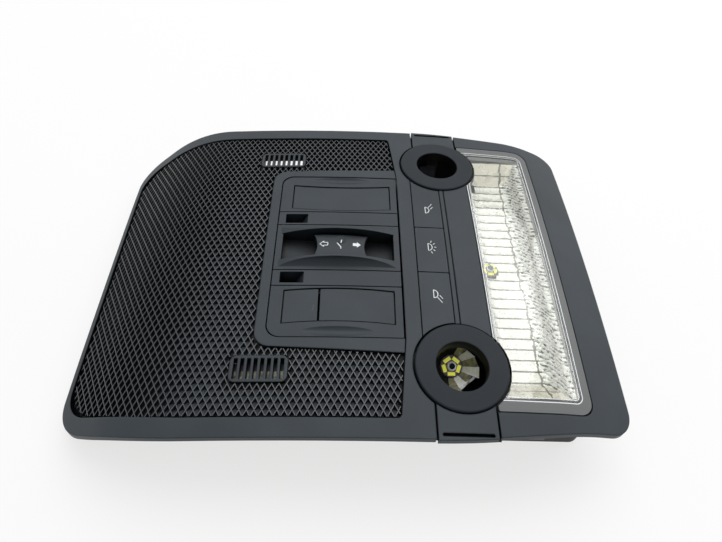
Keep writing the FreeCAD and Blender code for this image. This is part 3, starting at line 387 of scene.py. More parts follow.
@dataclass(frozen=True)
class BandedPlastic:
    """Near-black above a crosswise limit, with a mottled pale band below it."""

    name: str
    limit_y: float = -0.0579
    ragged: float = 0.0012
    mottle: float = 700.0
    contrast: Tuple[float, float] = (0.38, 0.62)
    dark: Rgb = (0.006, 0.007, 0.007)
    shade: Rgb = (0.1, 0.1, 0.07)
    pale: Rgb = (0.55, 0.56, 0.44)
    roughness: Tuple[float, float] = (0.4, 0.6)

    def material(self) -> bpy.types.Material:
        """Build the finish: noise mottles the band and roughens its edge.

        Returns:
            The material.
        """
        s = Shader(self.name)
        _, y, _ = s.axes()
        fine = s.noise(self.mottle, 3.0)
        edge = s.math("ADD", y, s.math("MULTIPLY", fine, self.ragged))
        band = s.ramp(fine, self.shade, self.pale, *self.contrast)
        tone = s.blend(s.math("GREATER_THAN", edge, self.limit_y), band, self.dark)
        s.feed(Base_Color=tone, Roughness=s.spread(fine, *self.roughness))
        return s.material


@dataclass(frozen=True)
class LensPlastic:
    """Clear lens whose outer border is frosted, with two fine painted highlights where the inner wall stands.
    """

    name: str
    border_y: float = 0.0700
    border_x: float = 0.0916
    front_x: float = 0.0606
    corner: float = 0.0028
    clear: Rgb = (0.97, 0.985, 0.965)
    frosted: Rgb = (0.115, 0.12, 0.12)
    frost_rough: float = 0.4
    frost_dull: float = 0.85
    glint: Rgb = (0.9, 0.92, 0.91)
    glint_in: float = 0.0002
    glint_gap: float = 0.0007
    glint_half: float = 0.00018
    glint_dull: float = 0.7
    speck: float = 900.0
    speck_rough: float = 0.03
    wave: float = 260.0
    wave_depth: float = 0.00003
    edge: float = 0.0003
    index: float = 1.49

    def material(self) -> bpy.types.Material:
        """Build the finish: distance past the border drives roughness, tint and clearness.

        Returns:
            The material.
        """
        s = Shader(self.name)
        x, y, _ = s.axes()
        out_y = s.math("SUBTRACT", s.math("ABSOLUTE", y), self.border_y)
        out_x = s.math("SUBTRACT", x, self.border_x)
        out_f = s.math("SUBTRACT", self.front_x, x)
        reach = s.length(*(s.math("MAXIMUM", s.math("ADD", out, self.corner), 0.0) for out in (out_x, out_y)))
        far = s.math("MAXIMUM", s.math("SUBTRACT", reach, self.corner), out_f)
        mask = s.math("GREATER_THAN", far, 0.0)
        # Painted highlight: two thin near-white lines near the border edge stand for glints off the inner
        # wall.
        off = s.math("ABSOLUTE", s.math("ADD", far, self.glint_in))
        glint = s.math("LESS_THAN", s.math("ABSOLUTE", s.math("SUBTRACT", off, self.glint_gap)), self.glint_half)
        speck = s.math("MULTIPLY", s.noise(self.speck, 2.0), self.speck_rough)
        rough = s.math("ADD", s.math("MULTIPLY", mask, self.frost_rough), speck)
        tint = s.ramp(mask, self.clear, self.frosted, *MASK_STEP)
        dull = s.math("MAXIMUM", *(s.math("MULTIPLY", part, share)
                                   for part, share in ((mask, self.frost_dull), (glint, self.glint_dull))))
        s.feed(Base_Color=s.blend(glint, tint, self.glint), Roughness=rough,
               Transmission_Weight=s.math("SUBTRACT", 1.0, dull))
        s.set(IOR=self.index)
        s.relief(s.noise(self.wave, 2.0), self.wave_depth, self.edge)
        return s.material


@dataclass(frozen=True)
class BrightMetal:
    """Vacuum-metallised reflector with faint haze and ripples."""

    name: str
    colour: Rgb
    roughness: float
    ripple: float
    metal: float
    ripple_scale: float = 700.0
    haze: float = 300.0
    haze_tone: float = 0.82
    rough_shares: Tuple[float, float] = (0.6, 1.6)

    def material(self) -> bpy.types.Material:
        """Build the finish: one noise hazes the coating, another ripples it.

        Returns:
            The material.
        """
        s = Shader(self.name)
        haze = s.noise(self.haze, 4.0)
        s.feed(Base_Color=s.ramp(haze, toned(self.colour, self.haze_tone), self.colour),
               Roughness=s.spread(haze, *(self.roughness * share for share in self.rough_shares)))
        s.set(Metallic=self.metal)
        s.relief(s.noise(self.ripple_scale, 2.0), self.ripple)
        return s.material


@dataclass(frozen=True)
class FlutedMetal:
    """Bright ivory coating with a thin line of painted shade along each flute and a ragged one at the rear
    curl.
    """

    name: str
    colour: Rgb = (0.74, 0.73, 0.67)
    line_shade: Rgb = (0.16, 0.155, 0.13)
    pitch: float = 0.0052
    line: float = 0.00022
    line_least: float = 0.3
    line_wobble: float = 1.6
    rim_x: float = 0.0837
    rim_half: float = 0.00045
    rim_ragged: float = 0.004
    haze: float = 240.0
    haze_tone: float = 0.8
    haze_reach: Tuple[float, float] = (0.3, 0.5)
    roughness: Tuple[float, float] = (0.2, 0.38)
    metal: float = 0.25
    wobble_scale: float = 180.0
    ragged_scale: float = 260.0
    ripple_scale: float = 500.0
    ripple: float = 0.00004

    def material(self) -> bpy.types.Material:
        """Build the finish: nearness to a flute line paints shade on the coating, noise hazes it.

        Returns:
            The material.
        """
        s = Shader(self.name)
        x, y, _ = s.axes()
        turn = s.math("FRACT", s.math("ADD", s.math("DIVIDE", y, self.pitch), WHOLE_TURNS + 0.5))
        away = s.math("MULTIPLY", s.math("ABSOLUTE", s.math("SUBTRACT", turn, 0.5)), self.pitch)
        wobble = s.math("MULTIPLY", s.noise(self.wobble_scale, 2.0), self.line * self.line_wobble)
        flute = s.math("LESS_THAN", away, s.math("ADD", wobble, self.line * self.line_least))
        ragged = s.math("MULTIPLY", s.noise(self.ragged_scale, 3.0), self.rim_ragged)
        rim = s.math("ABSOLUTE", s.math("SUBTRACT", s.math("ADD", x, ragged), self.rim_x))
        mask = s.math("MAXIMUM", flute, s.math("LESS_THAN", rim, self.rim_half))
        haze = s.noise(self.haze, 4.0)
        coat = s.ramp(haze, toned(self.colour, self.haze_tone), self.colour, *self.haze_reach)
        s.feed(Base_Color=s.blend(mask, coat, self.line_shade), Roughness=s.spread(haze, *self.roughness))
        s.set(Metallic=self.metal)
        s.relief(s.noise(self.ripple_scale, 2.0), self.ripple)
        return s.material


@dataclass(frozen=True)
class RippledMetal:
    """Bright wall broken into slanting feathers of painted reflection, light and dark."""

    name: str
    bright: Rgb = (0.9, 0.9, 0.84)
    dark: Rgb = (0.1, 0.097, 0.08)
    pitch: float = 0.0022
    slant: float = 1.6
    bend: float = 0.004
    bend_scale: float = 120.0
    patch_scale: float = 520.0
    wave_share: float = 0.11
    contrast: Tuple[float, float] = (0.35, 0.45)
    roughness: Tuple[float, float] = (0.3, 0.12)
    metal: float = 0.15
    relief: float = 0.0005

    def material(self) -> bpy.types.Material:
        """Build the finish: slanted waves, bent by a coarse noise, cut into patches by a fine one.

        Returns:
            The material.
        """
        s = Shader(self.name)
        _, y, z = s.axes()
        bend = s.math("MULTIPLY", s.noise(self.bend_scale, 2.0), self.bend)
        slant = s.math("ADD", s.math("ADD", y, s.math("MULTIPLY", z, self.slant)), bend)
        wave = s.math("SINE", s.math("MULTIPLY", slant, 2.0 * np.pi / self.pitch))
        patch = s.math("ADD", s.math("MULTIPLY", wave, self.wave_share), s.noise(self.patch_scale, 3.0))
        # Painted reflection: the dark and bright colours stand for what the rippled metal reflects.
        s.feed(Base_Color=s.ramp(patch, self.dark, self.bright, *self.contrast),
               Roughness=s.spread(patch, *self.roughness))
        s.set(Metallic=self.metal)
        s.relief(patch, self.relief)
        return s.material


@dataclass(frozen=True)
class GlossPlastic:
    """Polished plastic, lightly mottled, with a painted glow if given."""

    name: str
    colour: Rgb
    roughness: float
    painted_glow: float = 0.0
    mottle: float = 420.0
    mottle_tone: float = 0.8
    rough_shares: Tuple[float, float] = (0.7, 1.4)
    relief: float = 0.000006
    edge: float = 0.0002

    def material(self) -> bpy.types.Material:
        """Build the finish: one noise mottles colour, roughness and relief.

        Returns:
            The material.
        """
        s = Shader(self.name)
        mottle = s.noise(self.mottle, 3.0)
        s.feed(Base_Color=s.ramp(mottle, toned(self.colour, self.mottle_tone), self.colour),
               Roughness=s.spread(mottle, *(self.roughness * share for share in self.rough_shares)))
        s.relief(mottle, self.relief, self.edge)
        # Painted glow: emission lights the surface though no lamp is on.
        s.set(Emission_Color=(*self.colour, 1.0), Emission_Strength=self.painted_glow)
        return s.material


@dataclass(frozen=True)
class BoardMask:
    """Green solder mask over copper tracks."""

    name: str
    colour: Rgb = (0.02, 0.12, 0.05)
    track_tone: float = 1.7
    tracks: float = 260.0
    run: Tuple[float, float, float] = (1.0, 0.2, 1.0)
    contrast: Tuple[float, float] = (0.45, 0.55)
    roughness: Tuple[float, float] = (0.3, 0.42)
    relief: float = 0.00002

    def material(self) -> bpy.types.Material:
        """Build the finish: stretched noise stands for tracks under the mask.

        Returns:
            The material.
        """
        s = Shader(self.name)
        tracks = s.noise(self.tracks, 1.0, self.run)
        tone = s.ramp(tracks, self.colour, toned(self.colour, self.track_tone), *self.contrast)
        s.feed(Base_Color=tone, Roughness=s.spread(tracks, *self.roughness))
        s.relief(tracks, self.relief)
        return s.material


@dataclass(frozen=True)
class SpringSteel:
    """Rolled strip with lengthwise scratches."""

    name: str
    dark: Rgb = (0.06, 0.06, 0.063)
    light: Rgb = (0.11, 0.11, 0.115)
    scratch: float = 500.0
    run: Tuple[float, float, float] = (0.1, 1.0, 3.0)
    roughness: Tuple[float, float] = (0.25, 0.45)
    relief: float = 0.00001
    edge: float = 0.0002

    def material(self) -> bpy.types.Material:
        """Build the finish: stretched noise stands for the scratches.

        Returns:
            The material.
        """
        s = Shader(self.name)
        rolled = s.noise(self.scratch, 3.0, self.run)
        s.feed(Base_Color=s.ramp(rolled, self.dark, self.light), Roughness=s.spread(rolled, *self.roughness))
        s.set(Metallic=1.0)
        s.relief(rolled, self.relief, self.edge)
        return s.material


def make_piece(name: str, vertices: Array, faces: Array | List[List[int]], body: str, slot: str,
               material: bpy.types.Material, smooth: bool = False) -> bpy.types.Object:
    """A mesh piece in place on its body.

    Args:
        name: Piece name.
        vertices: Points in millimetres, (n, 3).
        faces: Vertex numbers of each face; an array may leave points unused, and those are dropped.
        body: Body that the piece moves with.
        slot: Material slot of the record.
        material: Finish.
        smooth: Whether faces shade smoothly.

    Returns:
        The new object.
    """
    mesh = bpy.data.meshes.new(name)
    if isinstance(faces, np.ndarray):
        used, back = np.unique(faces, return_inverse=True)
        vertices, faces = np.asarray(vertices)[used], back.reshape(faces.shape).tolist()
    mesh.from_pydata((np.asarray(vertices) * MM).tolist(), [], faces)
    mesh.update()
    mesh.materials.append(material)
    mesh.polygons.foreach_set("use_smooth", np.full(len(mesh.polygons), smooth))
    piece = bpy.data.objects.new(name, mesh)
    bpy.context.scene.collection.objects.link(piece)
    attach(piece, body)
    LOG.info("%s: %d faces on %s", name, len(mesh.polygons), body)
    return piece


def grid_faces(rows: int, columns: int, wrap: bool = False) -> Array:
    """Quads of a grid of points stored row by row.

    Args:
        rows: Points along the first parameter.
        columns: Points along the second parameter.
        wrap: Whether the second parameter closes on itself.

    Returns:
        Vertex numbers, (n, 4).
    """
    i, j = np.meshgrid(np.arange(rows - 1), np.arange(columns if wrap else columns - 1), indexing="ij")
    k = (j + 1) % columns
    this, after = i * columns, (i + 1) * columns
    return np.stack([this + j, after + j, after + k, this + k], -1).reshape(-1, 4)


@dataclass
class Grille:
    """True-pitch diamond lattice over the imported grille's border, vents and back."""

    cell_x: float = 2.77
    cell_y: float = 5.03
    rib_top: float = 0.3
    rib_foot: float = 0.8
    overlap: float = 0.08
    cut_steps: int = 10
    top: float = 0.5
    floor: float = 2.3
    match: float = 0.12
    # Pocket floors: depths of the corners, shares of the cell, and where they sink away.
    tongue: Tuple[float, float, float] = (0.7, 1.35, 2.1)
    tongue_span: Tuple[float, float, float] = (0.94, 0.8, 0.45)
    tongue_x: Tuple[float, float] = (-80.0, -54.0)
    tongue_sink: float = 1.5
    # Limits of the field: front, front corner, side with its sweep, rear, panel border and vents.
    front_x: float = -109.3
    front_bow: float = 1.7
    corner: Tuple[float, float, float] = (-109.3, 68.7, 13.0)
    sweep: Tuple[float, float] = (-77.5, 77.6)
    sweep_radius: float = 156.0
    sweep_share: float = 0.9
    rear_x: float = 21.1
    rear_y: float = 78.0
    rear_lean: float = 0.1
    bezel_x: float = -36.0
    bezel_length: float = 60.0
    bezel_front_y: float = 50.4
    bezel_rear_y: float = 53.0
    bezel_corner: float = 6.5
    vent_x: float = -32.1
    vent_y: float = 59.5
    vent_half: Tuple[float, float] = (11.5, 5.8)
    # Extent of the diamond pattern and of the grid under it.
    pattern: Tuple[float, float] = (140.0, 160.0)
    pattern_lead: float = 3.0
    pattern_spare: int = 8
    sheet_rear_x: float = 25.0
    sheet_half_y: float = 79.0
    sheet_step: float = 1.6
    sheet_margin: float = 0.5
    sheet_reach: float = 0.9

    def room(self, x: Array, y: Array) -> Array:
        """How far plan points lie inside the lattice field: the least distance to its limits.

        Args:
            x: Lengthwise places.
            y: Crosswise places.

        Returns:
            Distances, negative outside.
        """
        a = np.abs(y)
        fx, fy, radius = self.corner
        sx, sy = self.sweep
        along = np.hypot(sx - fx, sy - fy)
        lean = ((x - fx) * (sy - fy) - (a - fy) * (sx - fx)) / along
        blend = self.sweep_radius * np.tan(np.arctan2(sy - fy, sx - fx) / 2.0)
        near = np.maximum(blend - np.abs(x - sx), 0.0)
        side = np.minimum(sy - a, lean) - near**2 / (4.0 * self.sweep_radius) * self.sweep_share
        front = x - self.front_x - self.front_bow * np.maximum(1.0 - a / fy, 0.0)
        nip = radius - np.hypot(np.maximum(radius - front, 0.0), np.maximum(radius - side, 0.0))
        side = np.minimum(side, np.where((front < radius) & (side < radius), nip, side))
        rear = self.rear_x + (self.rear_y - a) * self.rear_lean - x
        span = np.clip((x - self.bezel_x) / self.bezel_length, 0.0, 1.0)
        border = self.bezel_front_y + (self.bezel_rear_y - self.bezel_front_y) * span
        out_x = self.bezel_x + self.bezel_corner - x
        out_y = a - border + self.bezel_corner
        panel = np.hypot(np.maximum(out_x, 0.0), np.maximum(out_y, 0.0)) - self.bezel_corner
        panel = panel + np.minimum(np.maximum(out_x, out_y), 0.0)
        half_x, half_y = self.vent_half
        vent = np.maximum(np.abs(x - self.vent_x) - half_x, np.abs(a - self.vent_y) - half_y)
        return np.minimum.reduce([side, rear, front, panel, vent])

    def lattice(self, parity: int) -> Tuple[Array, Array]:
        """Plan points of the diamond pattern.

        Args:
            parity: 0 for the crossings of the ribs, 1 for the middles of the pockets.

        Returns:
            Lengthwise and crosswise places.
        """
        size_x, size_y = self.pattern
        columns = int(size_x / self.cell_x) * 2 + self.pattern_spare
        rows = int(size_y / self.cell_y) * 2 + self.pattern_spare
        i, j = np.meshgrid(np.arange(columns), np.arange(-rows // 2, rows // 2 + 1), indexing="ij")
        keep = (i + j) % 2 == parity
        start = self.front_x - self.pattern_lead
        return start + i[keep] * self.cell_x / 2.0, j[keep] * self.cell_y / 2.0

    def tongues(self) -> Tuple[Array, Array]:
        """Pocket floors behind the bend: a leaning kite in each cell, high at its -Y corner, low at +Y,
        and all of it lower the nearer the bend.

        Returns:
            Vertices (n, 3) and quads (m, 4).
        """
        x, y = self.lattice(1)
        whole = (self.room(x, y) > self.cell_x / 2.0) & (x > self.tongue_x[0])
        x, y = x[whole], y[whole]
        near, wide, far = np.multiply(self.tongue_span, (self.cell_y, self.cell_x, self.cell_y)) / 2.0
        sink = np.interp(x, self.tongue_x, (self.tongue_sink, 0.0))
        high, middle, low = self.tongue
        corners = ((0.0, -near, high), (wide, 0.0, middle), (0.0, far, low), (-wide, 0.0, middle))
        kites = [FACE.points(x + dx, y + dy, depth + sink) for dx, dy, depth in corners]
        vertices = np.stack(kites, 1).reshape(-1, 3)
        return vertices, np.arange(len(vertices)).reshape(-1, 4)

    def bars(self) -> Tuple[Array, Array]:
        """Lattice bars: every diamond edge is a tapered bar, cut back where it leaves the field.

        Returns:
            Vertices (n, 3) and quads (m, 4).
        """
        crossing = np.stack(self.lattice(0), -1)
        half = np.array([self.cell_x, self.cell_y]) / 2.0
        start = np.concatenate([crossing, crossing])
        stop = np.concatenate([crossing + half, crossing + half * (1.0, -1.0)])
        start_in, stop_in = (self.room(*end.T) > 0 for end in (start, stop))
        used = start_in | stop_in
        start, stop, start_in, stop_in = start[used], stop[used], start_in[used], stop_in[used]
        low, high = np.zeros(len(start)), np.ones(len(start))
        for _ in range(self.cut_steps):
            middle = (low + high) / 2.0
            same = (self.room(*(start + (stop - start) * middle[:, None]).T) > 0) == start_in
            low, high = np.where(same, middle, low), np.where(same, high, middle)
        cut = start + (stop - start) * low[:, None]
        along = (stop - start) / np.linalg.norm(stop - start, axis=1)[:, None]
        across = np.stack([-along[:, 1], along[:, 0]], -1)
        first = np.where(start_in[:, None], start, cut) - along * self.overlap
        last = np.where(stop_in[:, None], stop, cut) + along * self.overlap
        t, f = self.rib_top / 2.0, self.rib_foot / 2.0
        section = ((-f, self.floor), (-t, self.top), (t, self.top), (f, self.floor))
        corners = [FACE.points(*(end + across * w).T, depth) for end in (first, last) for w, depth in section]
        faces = np.arange(len(first))[:, None, None] * len(corners) + BAR_QUADS
        return np.stack(corners, 1).reshape(-1, 3), faces.reshape(-1, 4)

    def floor_sheet(self) -> Tuple[Array, Array]:
        """Pocket floor, near-black as painted shade: a plan grid laid on the face at the pocket depth, inside
        the field and off the vents.

        Returns:
            Vertices (n, 3) and quads (m, 4).
        """
        x = np.arange(self.front_x - self.sheet_margin, self.sheet_rear_x, self.sheet_step)
        y = np.arange(-self.sheet_half_y, self.sheet_half_y + self.sheet_margin, self.sheet_step)
        gx, gy = np.meshgrid(x, y, indexing="ij")
        vertices = FACE.points(gx.ravel(), gy.ravel(), self.floor)
        faces = grid_faces(x.size, y.size)
        centre = vertices[faces].mean(1)
        inside = self.room(centre[:, 0], centre[:, 1]) > -self.sheet_reach
        return vertices, faces[inside][:, ::-1]

    def shell(self) -> Tuple[Array, Array]:
        """Border, vents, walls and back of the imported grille, without its coarse pockets.

        Returns:
            Vertices (n, 3) in millimetres and triangles (m, 3).
        """
        mesh = frame["nodes"]["mesh_grille"].data
        points = np.zeros(len(mesh.vertices) * 3)
        mesh.vertices.foreach_get("co", points)
        points = points.reshape(-1, 3) / MM
        mesh.calc_loop_triangles()
        tris = np.zeros(len(mesh.loop_triangles) * 3, np.int64)
        mesh.loop_triangles.foreach_get("vertices", tris)
        tris = tris.reshape(-1, 3)
        x, y, z = points.T
        off_top, off_floor = (np.abs(z - FACE.height(x, y, depth)) for depth in (self.top, self.floor))
        coarse = (np.minimum(off_top, off_floor) < self.match)[tris].all(1)
        return points, tris[~coarse]

    def build(self, looks: Looks) -> None:
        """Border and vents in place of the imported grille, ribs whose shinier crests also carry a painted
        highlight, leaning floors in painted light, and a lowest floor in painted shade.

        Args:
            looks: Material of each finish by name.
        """
        shell = make_piece("grille_border", *self.shell(), "console", "grille", looks["trim"])
        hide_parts("mesh_grille")
        vertices, faces = self.bars()
        crest = np.arange(len(faces)) % len(BAR_QUADS) == BAR_CREST
        # Lighter copies of the grille's black give the crests a painted highlight and the leaning floors
        # painted light; the lowest floor is painted shade.
        make_piece("grille_lattice", vertices, faces[~crest], "console", "grille", looks["grille"])
        make_piece("grille_crests", vertices, faces[crest], "console", "grille", looks["crests"])
        make_piece("grille_tongues", *self.tongues(), "console", "grille", looks["slopes"])
        make_piece("grille_floor", *self.floor_sheet(), "console", "grille", looks["deep"])


@dataclass
class SeamShadow:
    """Painted shade: dark strips under the seams beside the bar's end tabs, where the gaps show only shade."""

    seams: Tuple[float, float] = (34.4, 57.4)
    width: float = 2.0
    depth: float = 2.7
    start_y: float = 62.0
    stop_y: float = 85.2
    steps: int = 12

    def strips(self) -> Tuple[Array, Array]:
        """Four narrow strips: straight runs along Y laid on the face at one depth.

        Returns:
            Vertices (n, 3) and quads (m, 4).
        """
        y = np.linspace(self.start_y, self.stop_y, self.steps)
        points, faces = [], []
        for side in Side:
            for seam in self.seams:
                x = seam + np.array([-0.5, 0.5]) * self.width
                gx, gy = np.meshgrid(x, side.value * y, indexing="ij")
                faces.append(grid_faces(2, y.size)[:, ::-side.value] + len(points) * gx.size)
                points.append(FACE.points(gx.ravel(), gy.ravel(), self.depth))
        return np.concatenate(points), np.concatenate(faces)

    def build(self, looks: Looks) -> None:
        """One piece with all four strips."""
        make_piece("seam_shadow", *self.strips(), "console", "trim", looks["deep"])


@dataclass
class LightSource:
    """Light source: phosphor bars round a dark lens in a pale collar, on a turned and placed base."""

    tag: str
    origin: Tuple[float, float, float]
    tilt: float = 0.0
    base: float = 1.0
    bar_radius: float = 3.1
    bar_size: Tuple[float, float, float] = (3.1, 1.5, 0.45)
    bar_sunk: float = 0.4
    bar_count: int = 5
    collar: Tuple[float, float] = (1.25, 1.95)
    collar_lip: float = 0.1
    collar_slope: float = 0.2
    collar_heights: Tuple[float, ...] = (1.55, 1.7, 1.6, 1.2, 0.0)
    lens_height: float = 1.5
    lens_rise: float = 0.35
    lens_steps: int = 7
    lens_tip: float = 0.02
    round_steps: int = 36

    def placed(self, local: Array) -> Array:
        """Local points turned about X and moved to the origin."""
        c, s = np.cos(self.tilt), np.sin(self.tilt)
        turn = np.array([[1, 0, 0], [0, c, -s], [0, s, c]])
        return local @ turn.T + np.array(self.origin)

    def bars(self) -> Tuple[Array, Array]:
        """Bars: one block, repeated evenly round the axis.

        Returns:
            Vertices (n, 3) and quads (m, 4).
        """
        length, width, height = self.bar_size
        corners = ((-1, -1), (1, -1), (1, 1), (-1, 1))
        box = np.array([(sx * width / 2.0 + self.bar_radius, sy * length / 2.0, self.base + h)
                        for h in (-self.bar_sunk, height) for sx, sy in corners])
        angle = np.radians(-90.0 + 360.0 / self.bar_count * np.arange(self.bar_count))
        c, s = np.cos(angle)[:, None], np.sin(angle)[:, None]
        x = c * box[:, 0] - s * box[:, 1]
        y = s * box[:, 0] + c * box[:, 1]
        local = np.stack([x, y, np.broadcast_to(box[:, 2], x.shape)], -1).reshape(-1, 3)
        faces = np.arange(self.bar_count)[:, None, None] * len(box) + BLOCK_QUADS
        return self.placed(local), faces.reshape(-1, 4)

    def turned(self, radii: Sequence[float], heights: Sequence[float]) -> Tuple[Array, Array]:
        """A profile turned about the source axis.

        Args:
            radii: Distances of the profile's points from the axis.
            heights: Their heights over the base.

        Returns:
            Vertices (n, 3) and quads (m, 4).
        """
        turn = np.linspace(0.0, 2.0 * np.pi, self.round_steps, endpoint=False)
        r, z = np.asarray(radii), np.asarray(heights) + self.base
        local = np.stack([r[:, None] * np.cos(turn), r[:, None] * np.sin(turn),
                          np.broadcast_to(z[:, None], (r.size, turn.size))], -1)
        return self.placed(local.reshape(-1, 3)), grid_faces(r.size, turn.size, True)

    def build(self, looks: Looks, eye: str) -> None:
        """Bars, collar and lens.

        Args:
            looks: Material of each finish by name.
            eye: Finish of the lens.
        """
        make_piece(f"phosphor_bars_{self.tag}", *self.bars(), "console", "led", looks["phosphor"])
        a, b = self.collar
        ring = self.turned((a, a + self.collar_lip, b - self.collar_slope, b, b), self.collar_heights)
        make_piece(f"source_collar_{self.tag}", *ring, "console", "led", looks["pale"], True)
        lift = np.linspace(self.lens_tip, np.pi / 2.0, self.lens_steps)
        lens = self.turned(a * np.sin(lift), self.lens_height + self.lens_rise * np.cos(lift))
        make_piece(f"source_lens_{self.tag}", *lens, "console", "window", looks[eye], True)


@dataclass
class DomeLight:
    """Fluted reflector seen through the dome lens, and its light source."""

    front_x: float = 63.2
    front_run: Tuple[float, float, float] = (-0.6, 0.0, 2.5)
    front_rise: Tuple[float, float] = (4.0, 0.8)
    floor_z: float = 24.2
    floor_lead: float = 5.0
    floor_steps: int = 10
    rear_x: float = 88.2
    bend: float = 7.8
    curl: float = np.radians(80.0)
    curl_steps: int = 12
    wall_share: float = 0.75
    top_z: float = 31.6
    flange_run: Tuple[float, float] = (0.3, 3.0)
    flange_rise: Tuple[float, float] = (0.0, 0.4)
    half_y: float = 67.4
    end_slope: float = 9.5
    flute: float = 5.2
    flutes: int = 13
    flute_depth: float = 0.4
    flute_width: float = 0.3
    flute_power: float = 1.5
    flute_hollow: float = 0.1
    flute_steps: Tuple[float, ...] = (-2.6, -2.1, -1.2, -0.6, -0.3, -0.12, 0.0, 0.12, 0.3, 0.6, 1.2, 2.1)
    led_x: float = 68.0
    led_z: float = 25.6
    led_clear: float = 4.2
    led_bars: float = 2.6
    led_bar: Tuple[float, float, float] = (2.6, 1.2, 0.5)
    ring_clear: float = 21.8

    def line(self) -> Tuple[Array, Array]:
        """Floor line from the bar side, over the flat floor, curling up the rear wall to its flange.

        Returns:
            Lengthwise places and heights.
        """
        turn = np.linspace(0.0, self.curl, self.curl_steps)[1:]
        floor_end = self.rear_x - self.bend
        flat = np.linspace(self.front_x + self.floor_lead, floor_end, self.floor_steps)
        x = np.concatenate([np.add(self.front_x, self.front_run), flat,
                            floor_end + self.bend * np.sin(turn), np.add(self.rear_x, self.flange_run)])
        z = np.concatenate([[self.top_z], np.add(self.floor_z, self.front_rise),
                            np.full_like(flat, self.floor_z),
                            self.floor_z + self.bend * (1.0 - np.cos(turn)),
                            np.add(self.top_z, self.flange_rise)])
        return x, z

    def trough(self) -> Tuple[Array, Array]:
        """Reflector: the floor line carried across, with a narrow ridge every flute and a slight hollow
        between; the first two points, on the bar side, stay plain.

        Returns:
            Vertices (n, 3) and quads (m, 4), ordered along the floor line first.
        """
        x, z = self.line()
        tx, tz = np.gradient(x), np.gradient(z)
        size = np.hypot(tx, tz)
        ridges = np.arange(-self.flutes, self.flutes + 1) * self.flute
        y = np.unique(np.clip(np.add.outer(ridges, self.flute_steps).ravel(), -self.half_y, self.half_y))
        away = np.abs((y / self.flute + 0.5) % 1.0 - 0.5) * self.flute
        ridge = np.maximum(1.0 - away / self.flute_width, 0.0) ** self.flute_power * self.flute_depth
        swell = 1.0 - np.cos(np.pi * (1.0 - away / (self.flute / 2.0)))
        shape = np.ones_like(x)
        shape[:2] = 0.0
        lift = np.outer(shape, ridge + self.flute_hollow * swell / 2.0)
        gx = x[:, None] - (tz / size)[:, None] * lift
        gz = z[:, None] + (tx / size)[:, None] * lift
        vertices = np.stack([gx, np.broadcast_to(y, gx.shape), gz], -1).reshape(-1, 3)
        return vertices, grid_faces(x.size, y.size)[:, ::-1]

    def ends(self) -> Tuple[Array, List[List[int]]]:
        """Sloping end walls: the floor line leaning outward to its top.

        Returns:
            Vertices (n, 3) and one face for each end.
        """
        x, z = self.line()
        y = self.half_y - self.end_slope * (self.top_z - z) / (self.top_z - self.floor_z)
        near, far = (np.column_stack([x, sign * y, z]) for sign in (-1.0, 1.0))
        n = x.size
        return np.concatenate([near, far]), [list(range(n - 1, -1, -1)), list(range(n, 2 * n))]

    def build(self, looks: Looks) -> None:
        """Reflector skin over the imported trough, its rippled rear wall, end walls and the light source.

        Args:
            looks: Material of each finish by name.
        """
        vertices, faces = self.trough()
        x, y, _ = vertices[faces].mean(1).T
        off_ring = np.hypot(x - RING_X, np.abs(y) - RING_Y) > self.ring_clear
        keep = off_ring & (np.hypot(x - self.led_x, y) > self.led_clear)
        wall = x > self.rear_x - self.bend * self.wall_share
        skin, rear = faces[keep & ~wall], faces[keep & wall]
        coat = looks["reflector"]
        piece = make_piece("fluted_reflector", vertices, skin, "console", "reflector", coat, True)
        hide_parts("dome_reflector")
        make_piece("reflector_rear_wall", vertices, rear, "console", "reflector", looks["rippled"], True)
        # End walls in a brighter copy of the coating, as painted light.
        make_piece("reflector_ends", *self.ends(), "console", "reflector", looks["ivory"])
        origin = (self.led_x, 0.0, self.led_z)
        source = LightSource("dome", origin, base=0.0, bar_radius=self.led_bars, bar_size=self.led_bar)
        source.build(looks, "window")


